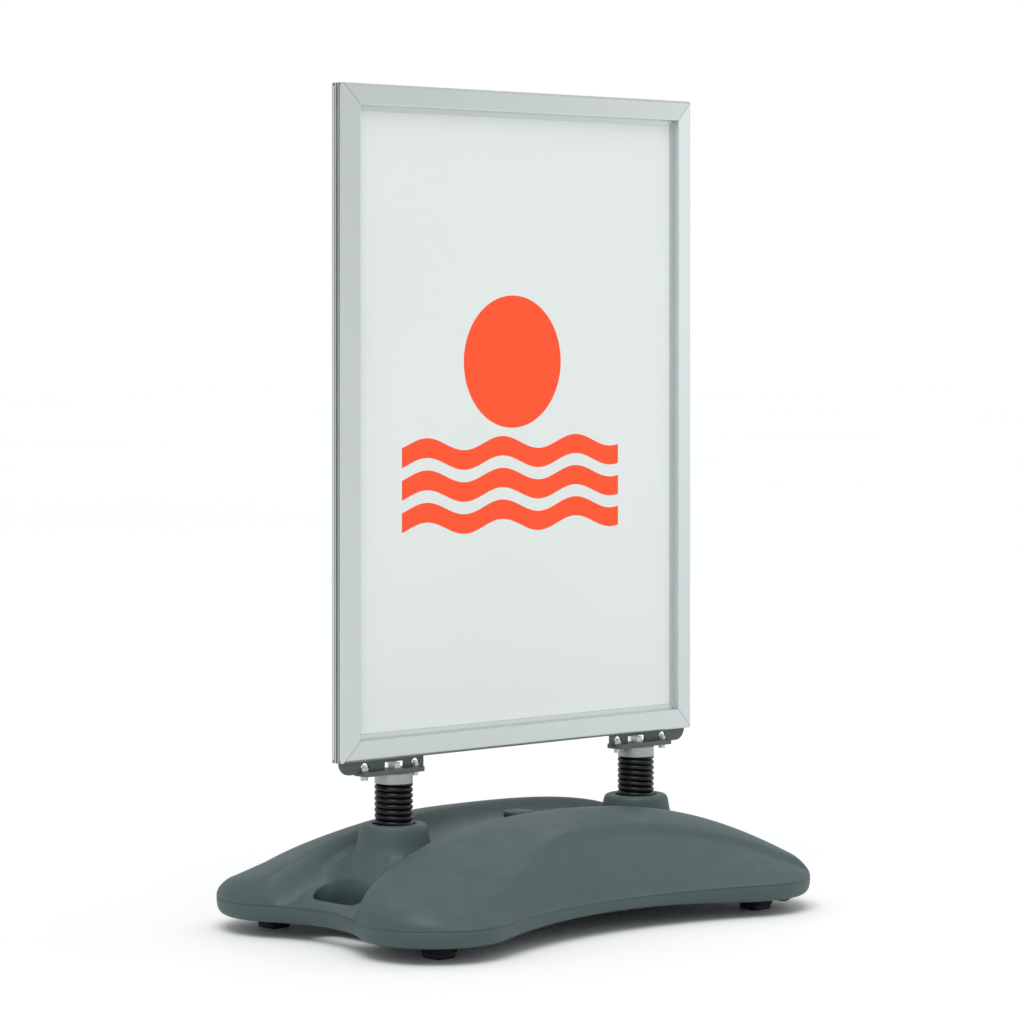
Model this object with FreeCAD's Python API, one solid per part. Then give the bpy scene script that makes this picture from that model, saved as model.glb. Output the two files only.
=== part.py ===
"""Spring-mounted pavement sign: two back-to-back snap frames on a water-filled moulded base.

Frame: millimetres, +Z up, +X along the base, front of the sign towards -Y, origin on the floor
at the middle of the base's footprint. Each piece is written to parts/NODE.step.
"""

import FreeCAD, Part
import math
import os

V = FreeCAD.Vector
X_AXIS, Y_AXIS, Z_AXIS = V(1, 0, 0), V(0, 1, 0), V(0, 0, 1)

# ---------------------------------------------------------------- driving dimensions
total_height = 1150.0

# moulded base, seen from above
base_length = 783.0
base_depth = 500.0
corner_radius = 105.0        # the four lobes
end_waist = 40.0             # how far each end curves in
side_waist = 55.0            # how far each long side curves in
wall = 3.5                   # moulded wall
slope_allowance = 1.3        # wall measured straight down, on average over the slopes
ground_gap = 22.0            # underside of the base above the floor
arch_rise = 7.0              # how much higher the underside is at mid length
arch_span = 460.0
bottom_round = 8.0
boolean_tolerance = 0.01
surface_margin = 12.0        # how far the free-form surface runs past the outline
surface_columns, surface_rows = 30, 24

# moulded base, heights
crest_height = 157.0         # the two ridges at mid length
crest_inset = 66.0           # ridge from the centre plane at mid length
crest_spread = 34.0          # how much further out it is at the reference length
trough_height = 141.0        # floor between the ridges at mid length
trough_edge = 36.0           # from the ridge in to the flat of the trough
ridge_flat = 10.0
rim_height = 54.0            # top of the upright side wall
rim_softness = 34.0
reference_from_end = 41.5    # the falls below are measured here
crest_fall, crest_fall_end = 37.0, 27.0      # parabola and quartic share
trough_fall, trough_fall_end = 61.0, 26.5
swell_power, swell_drop = 2.3, 1.1           # how the side face bulges at the -X end
swell_start, swell_end = -0.46, 0.383        # where it straightens, in half lengths

# necks that hold the springs
spring_x = 230.5
neck_radius = 45.5
neck_top = 153.0
neck_draft = 3.5
neck_straight = 24.0
flare_radius = 27.0
flare_depth = 42.0
flare_sag = 0.27             # how hollow the flare is, as a share of its width
neck_edge_round = 5.0
neck_root = 45.0             # the flare's foot goes on down to this height, inside the base
seat_radius = 29.5           # recess for the end of the spring
seat_depth = 12.0
column_radius = 24.0         # solid column under each neck, joined to the underside
anchor_pocket_radius = 21.0
anchor_pocket_depth = 22.0

# hand slot at one end
slot_from_end = 72.5
slot_width = 36.0
slot_length = 104.0

# filler in the middle of the trough
cap_radius = 21.0
cap_thickness = 7.0
cap_scallops = 12
scallop_radius, scallop_offset = 2.6, 1.2     # offset of each one's axis beyond the rim
cap_edge_round = 2.5
cap_seat_margin = 3.0
neck_bore_radius = 17.5
neck_tube_wall = 4.5
neck_tube_length = 22.0
cap_plug_length = 14.0
cap_wall = 2.5
seal_thickness = 2.0
seal_width = 2.9
thread_clearance = 0.35

# feet
foot_from_end, foot_from_side = 91.5, 80.0
foot_top, foot_bottom = 42.0, 32.0
foot_seat = 4.0              # how far the foot stands in the base
foot_groove = 1.2
foot_groove_height = 5.0
foot_groove_core = 0.4       # the groove's bottom, outside the foot's narrow end
foot_screw_radius = 3.0
foot_screw_head_radius, foot_screw_head_height = 6.0, 3.5
foot_screw_head_top = 8.0
foot_screw_hold = 10.0       # screw's length in the base

# wheels
wheel_from_end, wheel_from_side = 45.5, 72.0
wheel_radius = 20.5
wheel_width = 16.0
wheel_floor_gap = 6.5
wheel_edge_round = 2.0
wheel_tyre, wheel_hub, wheel_recess = 4.5, 3.0, 5.0
axle_radius = 4.0
axle_bearing = 7.0           # how far the axle stands in each side wall of the pocket
wheel_clearance = 2.5
bearing_clearance = 0.1

# springs and what holds them
spring_outer_radius = 26.2
spring_wire = 7.6
spring_pitch = 7.75
spring_turns = 8.11
plug_clearance = 0.35
lower_flange_radius = 28.0
lower_flange_thickness = 4.0
lower_plug_length = 16.0
upper_plug_length = 16.0
collar_radius = 26.0
collar_length = 13.0
anchor_thread_radius = 6.0
anchor_hole_clearance = 0.5
anchor_engagement = 15.0
anchor_head_flats = 19.0
anchor_head_height = 7.5
anchor_washer_radius = 18.0
anchor_washer_thickness = 3.0

# plates between the springs and the sign
plate_thickness = 3.0
plate_length = 108.0
plate_width = 30.0
plate_round = 7.0
plate_offset = 7.5           # plate centre outward from the spring
bolt_spacing = 90.0
bolt_radius = 3.0
bolt_head_radius, bolt_head_height = 5.0, 6.0
nut_flats, nut_height = 10.0, 5.0
bolt_stick_out = 3.0
socket_flats = 5.0
centre_stud_radius = 5.0
centre_nut_flats, centre_nut_height = 16.0, 8.0
stud_depth = 10.0

# upright web of each lower bracket
web_length = 150.0
web_overlap = 110.7          # reach of the web above the bottom of the frames
web_edge_gap = 3.0           # from the side of the frames
web_top_round, web_low_round = 16.0, 18.0
window_length, window_height = 34.0, 9.5
notch_width, notch_height = 14.0, 8.0

# snap frames
frame_width = 662.0
frame_height = 909.0
frame_depth = 14.0
frame_gap = plate_thickness  # the two frames stand this far apart
border = 36.0                # flap and lip together
flap_face = 29.0
flap_slope = 1.8
flap_wall = 1.2
flap_round = 5.0
flap_nose = 1.5              # rounding of the face's inner edge
flap_step = 0.8              # how far the step slopes down to the lip
lip_thickness = 0.9
mitre_gap = 0.25
hinge_radius = 1.1
claw_clearance = 0.12
claw_radius = 2.0
claw_start, claw_end = 10.0, 195.0
claw_cut_back = 4.0
hinge_depth = 4.4            # hinge axis in front of the frame's back
neck_angle = 310.0
hinge_neck = 1.0
rail_floor = 1.5
rail_lip = 2.1
rail_width = 34.5
rib = 1.0
key_width, key_thickness, key_leg = 13.0, 2.0, 45.0
key_inset = 7.6
key_clearance = 0.1
panel_thickness, panel_inset = 1.5, 24.0
paper_width, paper_height, paper_thickness = 594.0, 841.0, 0.3
cover_thickness, cover_inset = 0.7, 30.0
sheet_clearance = 0.2
leaf_width, leaf_thickness = 14.0, 0.6
leaf_from_corner = 175.0
leaf_flat, leaf_bend, leaf_tip = (8.2, 12.5), (18.5, 6.8), (21.5, 10.6)

# joining plates near the top corners and the screws that clamp the frames to every plate
join_length, join_height, join_round = 85.0, 72.5, 12.0
join_top_gap = 26.5
screw_radius, screw_head_radius, screw_head_height = 2.0, 4.0, 2.0
screw_inset = 14.0
web_screw_from_end, web_screw_pitch = 17.0, 50.0     # along the bottom of each web
low_screw_from_top, low_screw_pitch = 14.0, 28.0     # down the outer edge of each web
join_screw_from_end, join_screw_pitch = 12.0, 24.0   # up the joining plates
screw_hole_clearance = 0.15

# ---------------------------------------------------------------- worked out from the above
half_length, half_depth = base_length / 2, base_depth / 2
corner_x, corner_y = half_length - corner_radius, half_depth - corner_radius
end_edge, side_edge = half_length - end_waist, half_depth - side_waist
reference_x = half_length - reference_from_end
slot_x = slot_from_end - half_length
foot_x, foot_y = half_length - foot_from_end, half_depth - foot_from_side
wheel_x, wheel_y = half_length - wheel_from_end, half_depth - wheel_from_side


def waist_radius(along, gap):
    """Radius of the hollow arc that touches two lobes 2 * along apart, gap beyond their centres."""
    return (along ** 2 + gap ** 2 - corner_radius ** 2) / (2 * (corner_radius - gap))


end_radius = waist_radius(corner_y, end_edge - corner_x)
side_radius = waist_radius(corner_x, side_edge - corner_y)
end_centre, side_centre = end_edge + end_radius, side_edge + side_radius

frame_bottom = total_height - frame_height
seat_floor = neck_top - seat_depth
lower_flange_top = seat_floor + lower_flange_thickness
spring_bottom = lower_flange_top
spring_height = spring_pitch * (spring_turns - 1) + spring_wire
spring_mean_radius = spring_outer_radius - spring_wire / 2
plug_radius = spring_outer_radius - spring_wire - plug_clearance
collar_bottom = spring_bottom + spring_height
plate_bottom = collar_bottom + collar_length
flange_bottom = plate_bottom + plate_thickness
flange_top = flange_bottom + plate_thickness
web_top = frame_bottom + web_overlap
plate_x = spring_x + plate_offset
web_outer = frame_width / 2 - web_edge_gap
anchor_seat = ground_gap + anchor_pocket_depth
wheel_z = wheel_floor_gap + wheel_radius
axle_length = wheel_width + 2 * (wheel_clearance + axle_bearing)
foot_screw_top = ground_gap + foot_seat + foot_screw_hold
frame_back = frame_gap / 2
hinge_u = claw_radius
lip_bottom = rail_floor + panel_thickness + paper_thickness + cover_thickness + sheet_clearance


# ---------------------------------------------------------------- small helpers
def box(x0, x1, y0, y1, z0, z1):
    return Part.makeBox(x1 - x0, y1 - y0, z1 - z0, V(x0, y0, z0))


def rod(radius, z0, z1, x=0.0, y=0.0):
    return Part.makeCylinder(radius, z1 - z0, V(x, y, z0))


def polygon(points):
    return Part.Face(Part.makePolygon([V(*p) for p in points] + [V(*points[0])]))


def hex_prism(flats, z0, z1, x, y=0.0):
    radius = flats / math.sqrt(3)
    corners = [(x + radius * math.cos(math.radians(60 * i)),
                y + radius * math.sin(math.radians(60 * i)), z0) for i in range(6)]
    return polygon(corners).extrude(V(0, 0, z1 - z0))


def hex_nut(flats, bore, z0, z1, x):
    return hex_prism(flats, z0, z1, x).cut(rod(bore, z0, z1, x))


def rounded_block(x0, x1, y0, y1, z0, z1, radius, axis):
    """Box with the four edges along axis rounded."""
    block = box(x0, x1, y0, y1, z0, z1)
    edges = [e for e in block.Edges
             if abs((e.Vertexes[1].Point - e.Vertexes[0].Point).normalize().dot(axis)) > 0.9]
    return block.makeFillet(radius, edges)


def group(solids):
    return Part.makeCompound(solids)


def single(shape):
    """The one solid of a boolean's result."""
    return shape.Solids[0] if len(shape.Solids) == 1 else shape


def join(shape, tools):
    """Fuse with a small tolerance, which free-form surfaces need."""
    return single(shape.fuse(tools, boolean_tolerance))


# ---------------------------------------------------------------- moulded base
def lobe_angles():
    """Directions, from a lobe's centre, where its arc meets the end's and the side's hollow arcs."""
    return (math.atan2(-corner_y, end_centre - corner_x),
            math.atan2(side_centre - corner_y, -corner_x))


def base_outline(inset):
    """Closed wire of the base from above: lobes and hollow arcs, all moved in by inset."""
    lobe = corner_radius - inset
    reach_end = end_radius + inset
    reach_side = side_radius + inset
    to_end, to_side = lobe_angles()
    edges = []
    for turn in range(2):
        quarter = []
        start = V(corner_x + lobe * math.cos(to_end), corner_y + lobe * math.sin(to_end), 0)
        middle_angle = (to_end + to_side) / 2
        middle = V(corner_x + lobe * math.cos(middle_angle), corner_y + lobe * math.sin(middle_angle), 0)
        finish = V(corner_x + lobe * math.cos(to_side), corner_y + lobe * math.sin(to_side), 0)
        quarter.append(Part.Arc(start, middle, finish).toShape())
        across = V(-finish.x, finish.y, 0)
        quarter.append(Part.Arc(finish, V(0, side_centre - reach_side, 0), across).toShape())
        mirrored = V(-start.x, start.y, 0)
        quarter.append(Part.Arc(across, V(-middle.x, middle.y, 0), mirrored).toShape())
        below = V(-start.x, -start.y, 0)
        quarter.append(Part.Arc(mirrored, V(reach_end - end_centre, 0, 0), below).toShape())
        for edge in quarter:
            edge.rotate(V(0, 0, 0), Z_AXIS, 180.0 * turn)
        edges += quarter
    return Part.Wire(Part.__sortEdges__(edges))


def edge_distance(x, y):
    """How far a point lies inside the base's outline; negative outside."""
    x, y = abs(x), abs(y)
    start, finish = lobe_angles()
    if start < math.atan2(y - corner_y, x - corner_x) < finish:
        return corner_radius - math.hypot(x - corner_x, y - corner_y)
    to_end = math.hypot(x - end_centre, y) - end_radius
    to_side = math.hypot(x, y - side_centre) - side_radius
    return min(to_end, to_side)


def fall(x, top, share, end_share):
    ratio = (x / reference_x) ** 2
    return top - share * ratio - end_share * ratio ** 2


def smooth(t):
    t = min(max(t, 0.0), 1.0)
    return t * t * (3 - 2 * t)


def outer_profile(x, y):
    """0 at the ridge, 1 at the rim: bulging at the -X end, straighter at the +X end."""
    along = (x / half_length - swell_start) / (swell_end - swell_start)
    swell = swell_power - swell_drop * smooth(along)
    ridge = crest_inset + crest_spread * (x / reference_x) ** 2
    half = side_centre - math.sqrt(max(side_radius ** 2 - min(abs(x), corner_x) ** 2, 1.0))
    reach = (abs(y) - ridge) / (half - ridge)
    return min(max(reach, 0.0), 1.0) ** swell


def top_height(x, y):
    """Height of the base's upper surface."""
    crest = fall(x, crest_height, crest_fall, crest_fall_end)
    floor = fall(x, trough_height, trough_fall, trough_fall_end)
    ridge = crest_inset + crest_spread * (x / reference_x) ** 2
    if abs(y) < ridge:
        climb = smooth((abs(y) - (ridge - trough_edge)) / (trough_edge - ridge_flat))
        height = floor + (crest - floor) * climb
    else:
        height = rim_height + (crest - rim_height) * (1 - outer_profile(x, y))
    t = edge_distance(x, y) / rim_softness
    ease = t * (2 - t) if t < 1 else 1.0
    return rim_height + ((height - rim_height) * ease if t > 0 else rim_height * max(t, -0.6))


def under_surface(drop):
    """Solid below the upper surface, lowered by drop."""
    columns, rows = surface_columns, surface_rows
    reach_x, reach_y = half_length + surface_margin, half_depth + surface_margin
    grid = []
    for i in range(columns + 1):
        x = reach_x * (2 * i / columns - 1)
        grid.append([V(x, y, top_height(x, y) - drop)
                     for y in (reach_y * (2 * j / rows - 1) for j in range(rows + 1))])
    surface = Part.BSplineSurface()
    surface.interpolate(grid)
    return surface.toShape().extrude(V(0, 0, -400))


def underside_arch():
    """What the gentle arch takes away under the base."""
    radius = ((arch_span / 2) ** 2 + arch_rise ** 2) / (2 * arch_rise)
    centre = V(0, -half_depth - 20, ground_gap + arch_rise - radius)
    return Part.makeCylinder(radius, base_depth + 40, centre, Y_AXIS)


def neck_solid(x, inset):
    """Flared neck round a spring, its surface moved in by inset."""
    top = neck_top - inset
    foot = neck_top - neck_straight
    radius = neck_radius - inset
    root = radius + neck_draft
    outer = root + flare_radius
    bottom = foot - flare_depth
    edge_round = neck_edge_round
    k = math.sqrt(0.5)
    profile = [
        Part.LineSegment(V(0, 0, neck_root), V(0, 0, top)),
        Part.LineSegment(V(0, 0, top), V(radius - edge_round, 0, top)),
        Part.Arc(V(radius - edge_round, 0, top),
                 V(radius - edge_round * (1 - k), 0, top - edge_round * (1 - k)),
                 V(radius, 0, top - edge_round)),
        Part.LineSegment(V(radius, 0, top - edge_round), V(root, 0, foot)),
        Part.Arc(V(root, 0, foot), V(root + flare_radius * flare_sag, 0, foot - flare_depth * (1 - flare_sag)),
                 V(outer, 0, bottom)),
        Part.LineSegment(V(outer, 0, bottom), V(outer, 0, neck_root)),
        Part.LineSegment(V(outer, 0, neck_root), V(0, 0, neck_root)),
    ]
    wire = Part.Wire([p.toShape() for p in profile])
    neck = Part.Face(wire).revolve(V(0, 0, 0), Z_AXIS, 360)
    neck.translate(V(x, 0, 0))
    return neck


def hand_slot(margin, z0, z1):
    """Stadium through the base, grown by margin."""
    half = slot_width / 2 + margin
    run = slot_length / 2 - slot_width / 2
    body = box(slot_x - half, slot_x + half, -run, run, z0, z1)
    return body.fuse([rod(half, z0, z1, slot_x, run), rod(half, z0, z1, slot_x, -run)])


def wheel_pocket(side, margin):
    half_x = wheel_radius + wheel_clearance + margin
    half_y = wheel_width / 2 + wheel_clearance + margin
    return box(wheel_x - half_x, wheel_x + half_x, side * wheel_y - half_y, side * wheel_y + half_y,
               ground_gap - 1, wheel_z + wheel_radius + wheel_clearance + margin)


def axle_at(side, radius, length):
    start = V(wheel_x, side * wheel_y - length / 2, wheel_z)
    return Part.makeCylinder(radius, length, start, Y_AXIS)


def foot_positions():
    return [(foot_x * sx, foot_y * sy) for sx in (-1, 1) for sy in (-1, 1)]


def outer_skin():
    """The moulding's outside as a full solid, before anything passes through it."""
    prism = Part.Face(base_outline(0)).extrude(V(0, 0, crest_height + 20))
    prism.translate(V(0, 0, ground_gap))
    low_edges = [e for e in prism.Edges if abs(e.BoundBox.ZMax - ground_gap) < 0.01]
    skin = prism.makeFillet(bottom_round, low_edges).common(under_surface(0))
    skin = skin.cut(underside_arch())
    return join(skin, [neck_solid(side * spring_x, 0) for side in (-1, 1)])


def skin_cuts():
    """Hand slot, spring seats, bolt holes, wheel pockets and foot seats."""
    hole = anchor_thread_radius + anchor_hole_clearance
    cuts = [hand_slot(0, 0, total_height), rod(cap_radius + cap_seat_margin, trough_height, total_height)]
    for side in (-1, 1):
        x = side * spring_x
        cuts += [rod(seat_radius, seat_floor, neck_top + 1, x),
                 rod(hole, 0, neck_top, x),
                 rod(anchor_pocket_radius, 0, anchor_seat, x),
                 wheel_pocket(side, 0).fuse(axle_at(side, axle_radius, axle_length))]
    half = foot_top / 2
    for x, y in foot_positions():
        seat = box(x - half, x + half, y - half, y + half, 0, ground_gap + foot_seat)
        cuts.append(seat.fuse(rod(foot_screw_radius, 0, foot_screw_top, x, y)))
    return cuts


def water_space():
    """The hollow inside the moulding, kept a wall's thickness from every opening."""
    room = Part.Face(base_outline(wall)).extrude(V(0, 0, crest_height + 20))
    room.translate(V(0, 0, ground_gap + arch_rise + wall))
    room = room.common(under_surface(wall * slope_allowance))
    room = join(room, [neck_solid(side * spring_x, wall) for side in (-1, 1)])
    keep_out = [hand_slot(wall, 0, total_height),
                rod(neck_bore_radius + neck_tube_wall, trough_height - neck_tube_length, total_height)]
    for side in (-1, 1):
        x = side * spring_x
        keep_out.append(rod(column_radius, 0, neck_top, x).fuse(
            rod(seat_radius + wall, seat_floor - wall, neck_top + 1, x)))
        keep_out.append(wheel_pocket(side, wall).fuse(
            axle_at(side, axle_radius + wall, axle_length + 2 * wall)))
    half = foot_top / 2 + wall
    for x, y in foot_positions():
        keep_out.append(box(x - half, x + half, y - half, y + half, 0, foot_screw_top + wall))
    return room.cut(keep_out)


def largest_shell(shape):
    return max(shape.Shells, key=lambda shell: shell.Area)


def base_tank():
    """Hollow moulding: its skin outside, the water space inside, and the filler's bore between."""
    inside = largest_shell(water_space()).copy()
    inside.reverse()
    outside = largest_shell(outer_skin().cut(skin_cuts()))
    hollow = Part.makeSolid(Part.makeCompound([outside, inside]))
    return single(hollow.cut(rod(neck_bore_radius, trough_height - neck_tube_length - 2, total_height)))


def filler_cap():
    """Scalloped cap with a hollow threaded plug."""
    seat = trough_height + seal_thickness
    top = rod(cap_radius, seat, seat + cap_thickness)
    top = top.makeFillet(cap_edge_round, [e for e in top.Edges if e.BoundBox.ZMin > seat + 1])
    plug_outer = neck_bore_radius - thread_clearance
    plug = rod(plug_outer, trough_height - cap_plug_length, seat + 1)
    hollow = rod(plug_outer - cap_wall, trough_height - cap_plug_length - 1, seat)
    scallops = []
    for i in range(cap_scallops):
        angle = 2 * math.pi * i / cap_scallops
        scallops.append(rod(scallop_radius, seat - 1, seat + cap_thickness + 1,
                            (cap_radius + scallop_offset) * math.cos(angle),
                            (cap_radius + scallop_offset) * math.sin(angle)))
    return single(top.cut(scallops).fuse(plug).cut(hollow))


def filler_cap_seal():
    outer = neck_bore_radius + seal_width
    ring = rod(outer, trough_height, trough_height + seal_thickness)
    return ring.cut(rod(neck_bore_radius, trough_height, trough_height + seal_thickness))


def foot(x, y):
    """Tapered rubber block with a groove near the floor."""
    def square(side, z):
        h = side / 2
        return Part.makePolygon([V(x - h, y - h, z), V(x + h, y - h, z), V(x + h, y + h, z),
                                 V(x - h, y + h, z), V(x - h, y - h, z)])
    block = Part.makeLoft([square(foot_bottom, 0), square(foot_top, ground_gap)], True)
    seat = box(x - foot_top / 2, x + foot_top / 2, y - foot_top / 2, y + foot_top / 2,
               ground_gap, ground_gap + foot_seat)
    half = foot_top
    band = box(x - half, x + half, y - half, y + half, foot_groove_height, foot_groove_height + foot_groove)
    waist = foot_bottom / 2 + foot_groove_core
    core = box(x - waist, x + waist, y - waist, y + waist, foot_groove_height, foot_groove_height + foot_groove)
    screw_space = rod(foot_screw_head_radius, -1, foot_screw_head_top, x, y).fuse(
        rod(foot_screw_radius, 0, ground_gap + foot_seat, x, y))
    return single(block.fuse(seat).cut(band.cut(core)).cut(screw_space))


def foot_screw(x, y):
    head = rod(foot_screw_head_radius, foot_screw_head_top - foot_screw_head_height, foot_screw_head_top, x, y)
    return head.fuse(rod(foot_screw_radius, foot_screw_head_top, foot_screw_top, x, y))


def wheel(side):
    """Moulded wheel with a hub and a recessed web."""
    y0, y1 = side * wheel_y - wheel_width / 2, side * wheel_y + wheel_width / 2
    tyre = Part.makeCylinder(wheel_radius, wheel_width, V(wheel_x, y0, wheel_z), Y_AXIS)
    tyre = tyre.makeFillet(wheel_edge_round, tyre.Edges[0:1] + tyre.Edges[2:3])
    recess = []
    for start in (y0, y1 - wheel_recess):
        centre = V(wheel_x, start, wheel_z)
        ring = Part.makeCylinder(wheel_radius - wheel_tyre, wheel_recess, centre, Y_AXIS)
        hub = Part.makeCylinder(axle_radius + wheel_hub, wheel_recess, centre, Y_AXIS)
        recess.append(ring.cut(hub))
    bore = Part.makeCylinder(axle_radius + bearing_clearance, wheel_width, V(wheel_x, y0, wheel_z), Y_AXIS)
    return single(tyre.cut(recess + [bore]))


# ---------------------------------------------------------------- springs and their fittings
def spring(side):
    """Closed coil of round wire, its ends level with the fittings it is screwed on to."""
    helix = Part.makeHelix(spring_pitch, spring_height - spring_wire, spring_mean_radius)
    start = V(spring_mean_radius, 0, 0)
    circle = Part.Wire(Part.makeCircle(spring_wire / 2, start, Y_AXIS))
    coil = Part.Wire(helix).makePipeShell([circle], True, True)
    coil.translate(V(side * spring_x, 0, spring_bottom + spring_wire / 2))
    return coil


def spring_lower_fitting(side):
    """Flange in the neck's recess and a plug inside the lowest coils."""
    x = side * spring_x
    body = rod(lower_flange_radius, seat_floor, lower_flange_top, x).fuse(
        rod(plug_radius, lower_flange_top, lower_flange_top + lower_plug_length, x))
    return single(body.cut(rod(anchor_thread_radius, seat_floor, seat_floor + anchor_engagement, x)))


def anchor_bolt(side):
    x = side * spring_x
    head_bottom = anchor_seat - anchor_washer_thickness - anchor_head_height
    head = hex_prism(anchor_head_flats, head_bottom, head_bottom + anchor_head_height, x)
    return head.fuse(rod(anchor_thread_radius, head_bottom + anchor_head_height,
                         seat_floor + anchor_engagement, x))


def anchor_washer(side):
    x = side * spring_x
    z0 = anchor_seat - anchor_washer_thickness
    return rod(anchor_washer_radius, z0, anchor_seat, x).cut(rod(anchor_thread_radius, z0, anchor_seat, x))


def spring_upper_fitting(side):
    """Collar on the spring with a plug inside the highest coils."""
    x = side * spring_x
    body = rod(collar_radius, collar_bottom, plate_bottom, x).fuse(
        rod(plug_radius, collar_bottom - upper_plug_length, collar_bottom, x))
    return single(body.cut(rod(centre_stud_radius, plate_bottom - stud_depth, plate_bottom, x)))


def bolt_places(side):
    return [side * (plate_x + offset * bolt_spacing / 2) for offset in (-1, 1)]


def plate_blank(side, z0, z1):
    x0, x1 = side * plate_x - plate_length / 2, side * plate_x + plate_length / 2
    return rounded_block(x0, x1, -plate_width / 2, plate_width / 2, z0, z1, plate_round, Z_AXIS)


def plate_holes(side, z0, z1):
    """Holes for the two plate bolts and the centre stud."""
    holes = [rod(bolt_radius, z0, z1, x) for x in bolt_places(side)]
    return holes + [rod(centre_stud_radius, z0, z1, side * spring_x)]


def spring_plate(side):
    blank = plate_blank(side, plate_bottom, flange_bottom)
    return single(blank.cut(plate_holes(side, plate_bottom, flange_bottom)))


def lower_bracket(side):
    """Upside-down T: a flange on the spring plate and a web between the two frames."""
    flange = plate_blank(side, flange_bottom, flange_top)
    inner, outer = web_outer - web_length, web_outer
    low, high = flange_top - plate_thickness, web_top
    half = plate_thickness / 2
    web = box(inner, outer, -half, half, low, high)
    corners = [e for e in web.Edges if abs(e.BoundBox.YLength - plate_thickness) < 0.01
               and abs(e.BoundBox.XMin - outer) < 0.01]
    top = [e for e in corners if e.BoundBox.ZMin > (low + high) / 2]
    bottom = [e for e in corners if e.BoundBox.ZMin < (low + high) / 2]
    web = web.makeFillet(web_top_round, top)
    bottom = [e for e in web.Edges if abs(e.BoundBox.XMin - outer) < 0.01 and e.BoundBox.XLength < 0.01
              and e.BoundBox.ZLength < 0.01 and e.BoundBox.ZMin < low + 0.01]
    web = web.makeFillet(web_low_round, bottom)
    openings = [box(spring_x - window_length / 2, spring_x + window_length / 2, -half, half,
                    flange_top, flange_top + window_height)]
    for x in (plate_x - bolt_spacing / 2, plate_x + bolt_spacing / 2):
        openings.append(box(x - notch_width / 2, x + notch_width / 2, -half, half,
                            flange_top, flange_top + notch_height - notch_width / 4))
        openings.append(Part.makeCylinder(notch_width / 2, plate_thickness,
                                          V(x, -half, flange_top + notch_height - notch_width / 4), Y_AXIS))
    web = web.cut(openings)
    web = web.cut([screw_hole(x, z) for x, z in screw_places() if x > 0 and z < total_height / 2])
    if side < 0:
        web.rotate(V(0, 0, 0), Z_AXIS, 180)
    return single(flange.fuse(web).cut(plate_holes(side, flange_bottom, flange_top)))


def screw_places():
    """X and Z of every clamping screw, on both sides of the sign."""
    side_x = frame_width / 2 - screw_inset
    join_bottom = total_height - join_top_gap - join_height
    places = []
    for side in (-1, 1):
        for i in range(2):
            along = web_outer - web_length + web_screw_from_end + i * web_screw_pitch
            places.append((side * along, frame_bottom + screw_inset))
            places.append((side * side_x, web_top - low_screw_from_top - i * low_screw_pitch))
            places.append((side * side_x, join_bottom + join_screw_from_end + i * join_screw_pitch))
    return places


def screw_hole(x, z, radius=screw_radius):
    return Part.makeCylinder(radius, 4 * frame_depth, V(x, -2 * frame_depth, z), Y_AXIS)


def joining_plate(side):
    outer = web_outer
    high = total_height - join_top_gap
    half = plate_thickness / 2
    plate = rounded_block(outer - join_length, outer, -half, half, high - join_height, high,
                          join_round, Y_AXIS)
    plate = plate.cut([screw_hole(x, z) for x, z in screw_places() if x > 0 and z > total_height / 2])
    if side < 0:
        plate.rotate(V(0, 0, 0), Z_AXIS, 180)
    return single(plate)


def plate_bolt(x):
    head = rod(bolt_head_radius, plate_bottom - bolt_head_height, plate_bottom, x)
    socket = hex_prism(socket_flats, plate_bottom - bolt_head_height, plate_bottom - bolt_head_height / 2, x)
    shank = rod(bolt_radius, plate_bottom, flange_top + nut_height + bolt_stick_out, x)
    return head.cut(socket).fuse(shank)


def plate_nut(x):
    return hex_nut(nut_flats, bolt_radius, flange_top, flange_top + nut_height, x)


def centre_stud(side):
    return rod(centre_stud_radius, plate_bottom - stud_depth, flange_top + centre_nut_height + 1,
               side * spring_x)


def centre_nut(side):
    return hex_nut(centre_nut_flats, centre_stud_radius, flange_top, flange_top + centre_nut_height,
                   side * spring_x)


# ---------------------------------------------------------------- snap frames
# A section is drawn as (u, v): u from the frame's outer edge inwards, v from its back to its front.
def section_point(u, v):
    return V(0, -v, u)


def section_polygon(points):
    wire = Part.makePolygon([section_point(*p) for p in points] + [section_point(*points[0])])
    return Part.Face(wire)


def ring_sector(outer, inner, start, end):
    """Part of a ring round the hinge axis, angles in degrees from u towards v."""
    def at(radius, angle):
        a = math.radians(angle)
        return section_point(hinge_u + radius * math.cos(a), hinge_depth + radius * math.sin(a))
    middle = (start + end) / 2
    edges = [Part.Arc(at(outer, start), at(outer, middle), at(outer, end)).toShape(),
             Part.LineSegment(at(outer, end), at(inner, end)).toShape(),
             Part.Arc(at(inner, end), at(inner, middle), at(inner, start)).toShape(),
             Part.LineSegment(at(inner, start), at(outer, start)).toShape()]
    return Part.Face(Part.Wire(edges))


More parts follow.
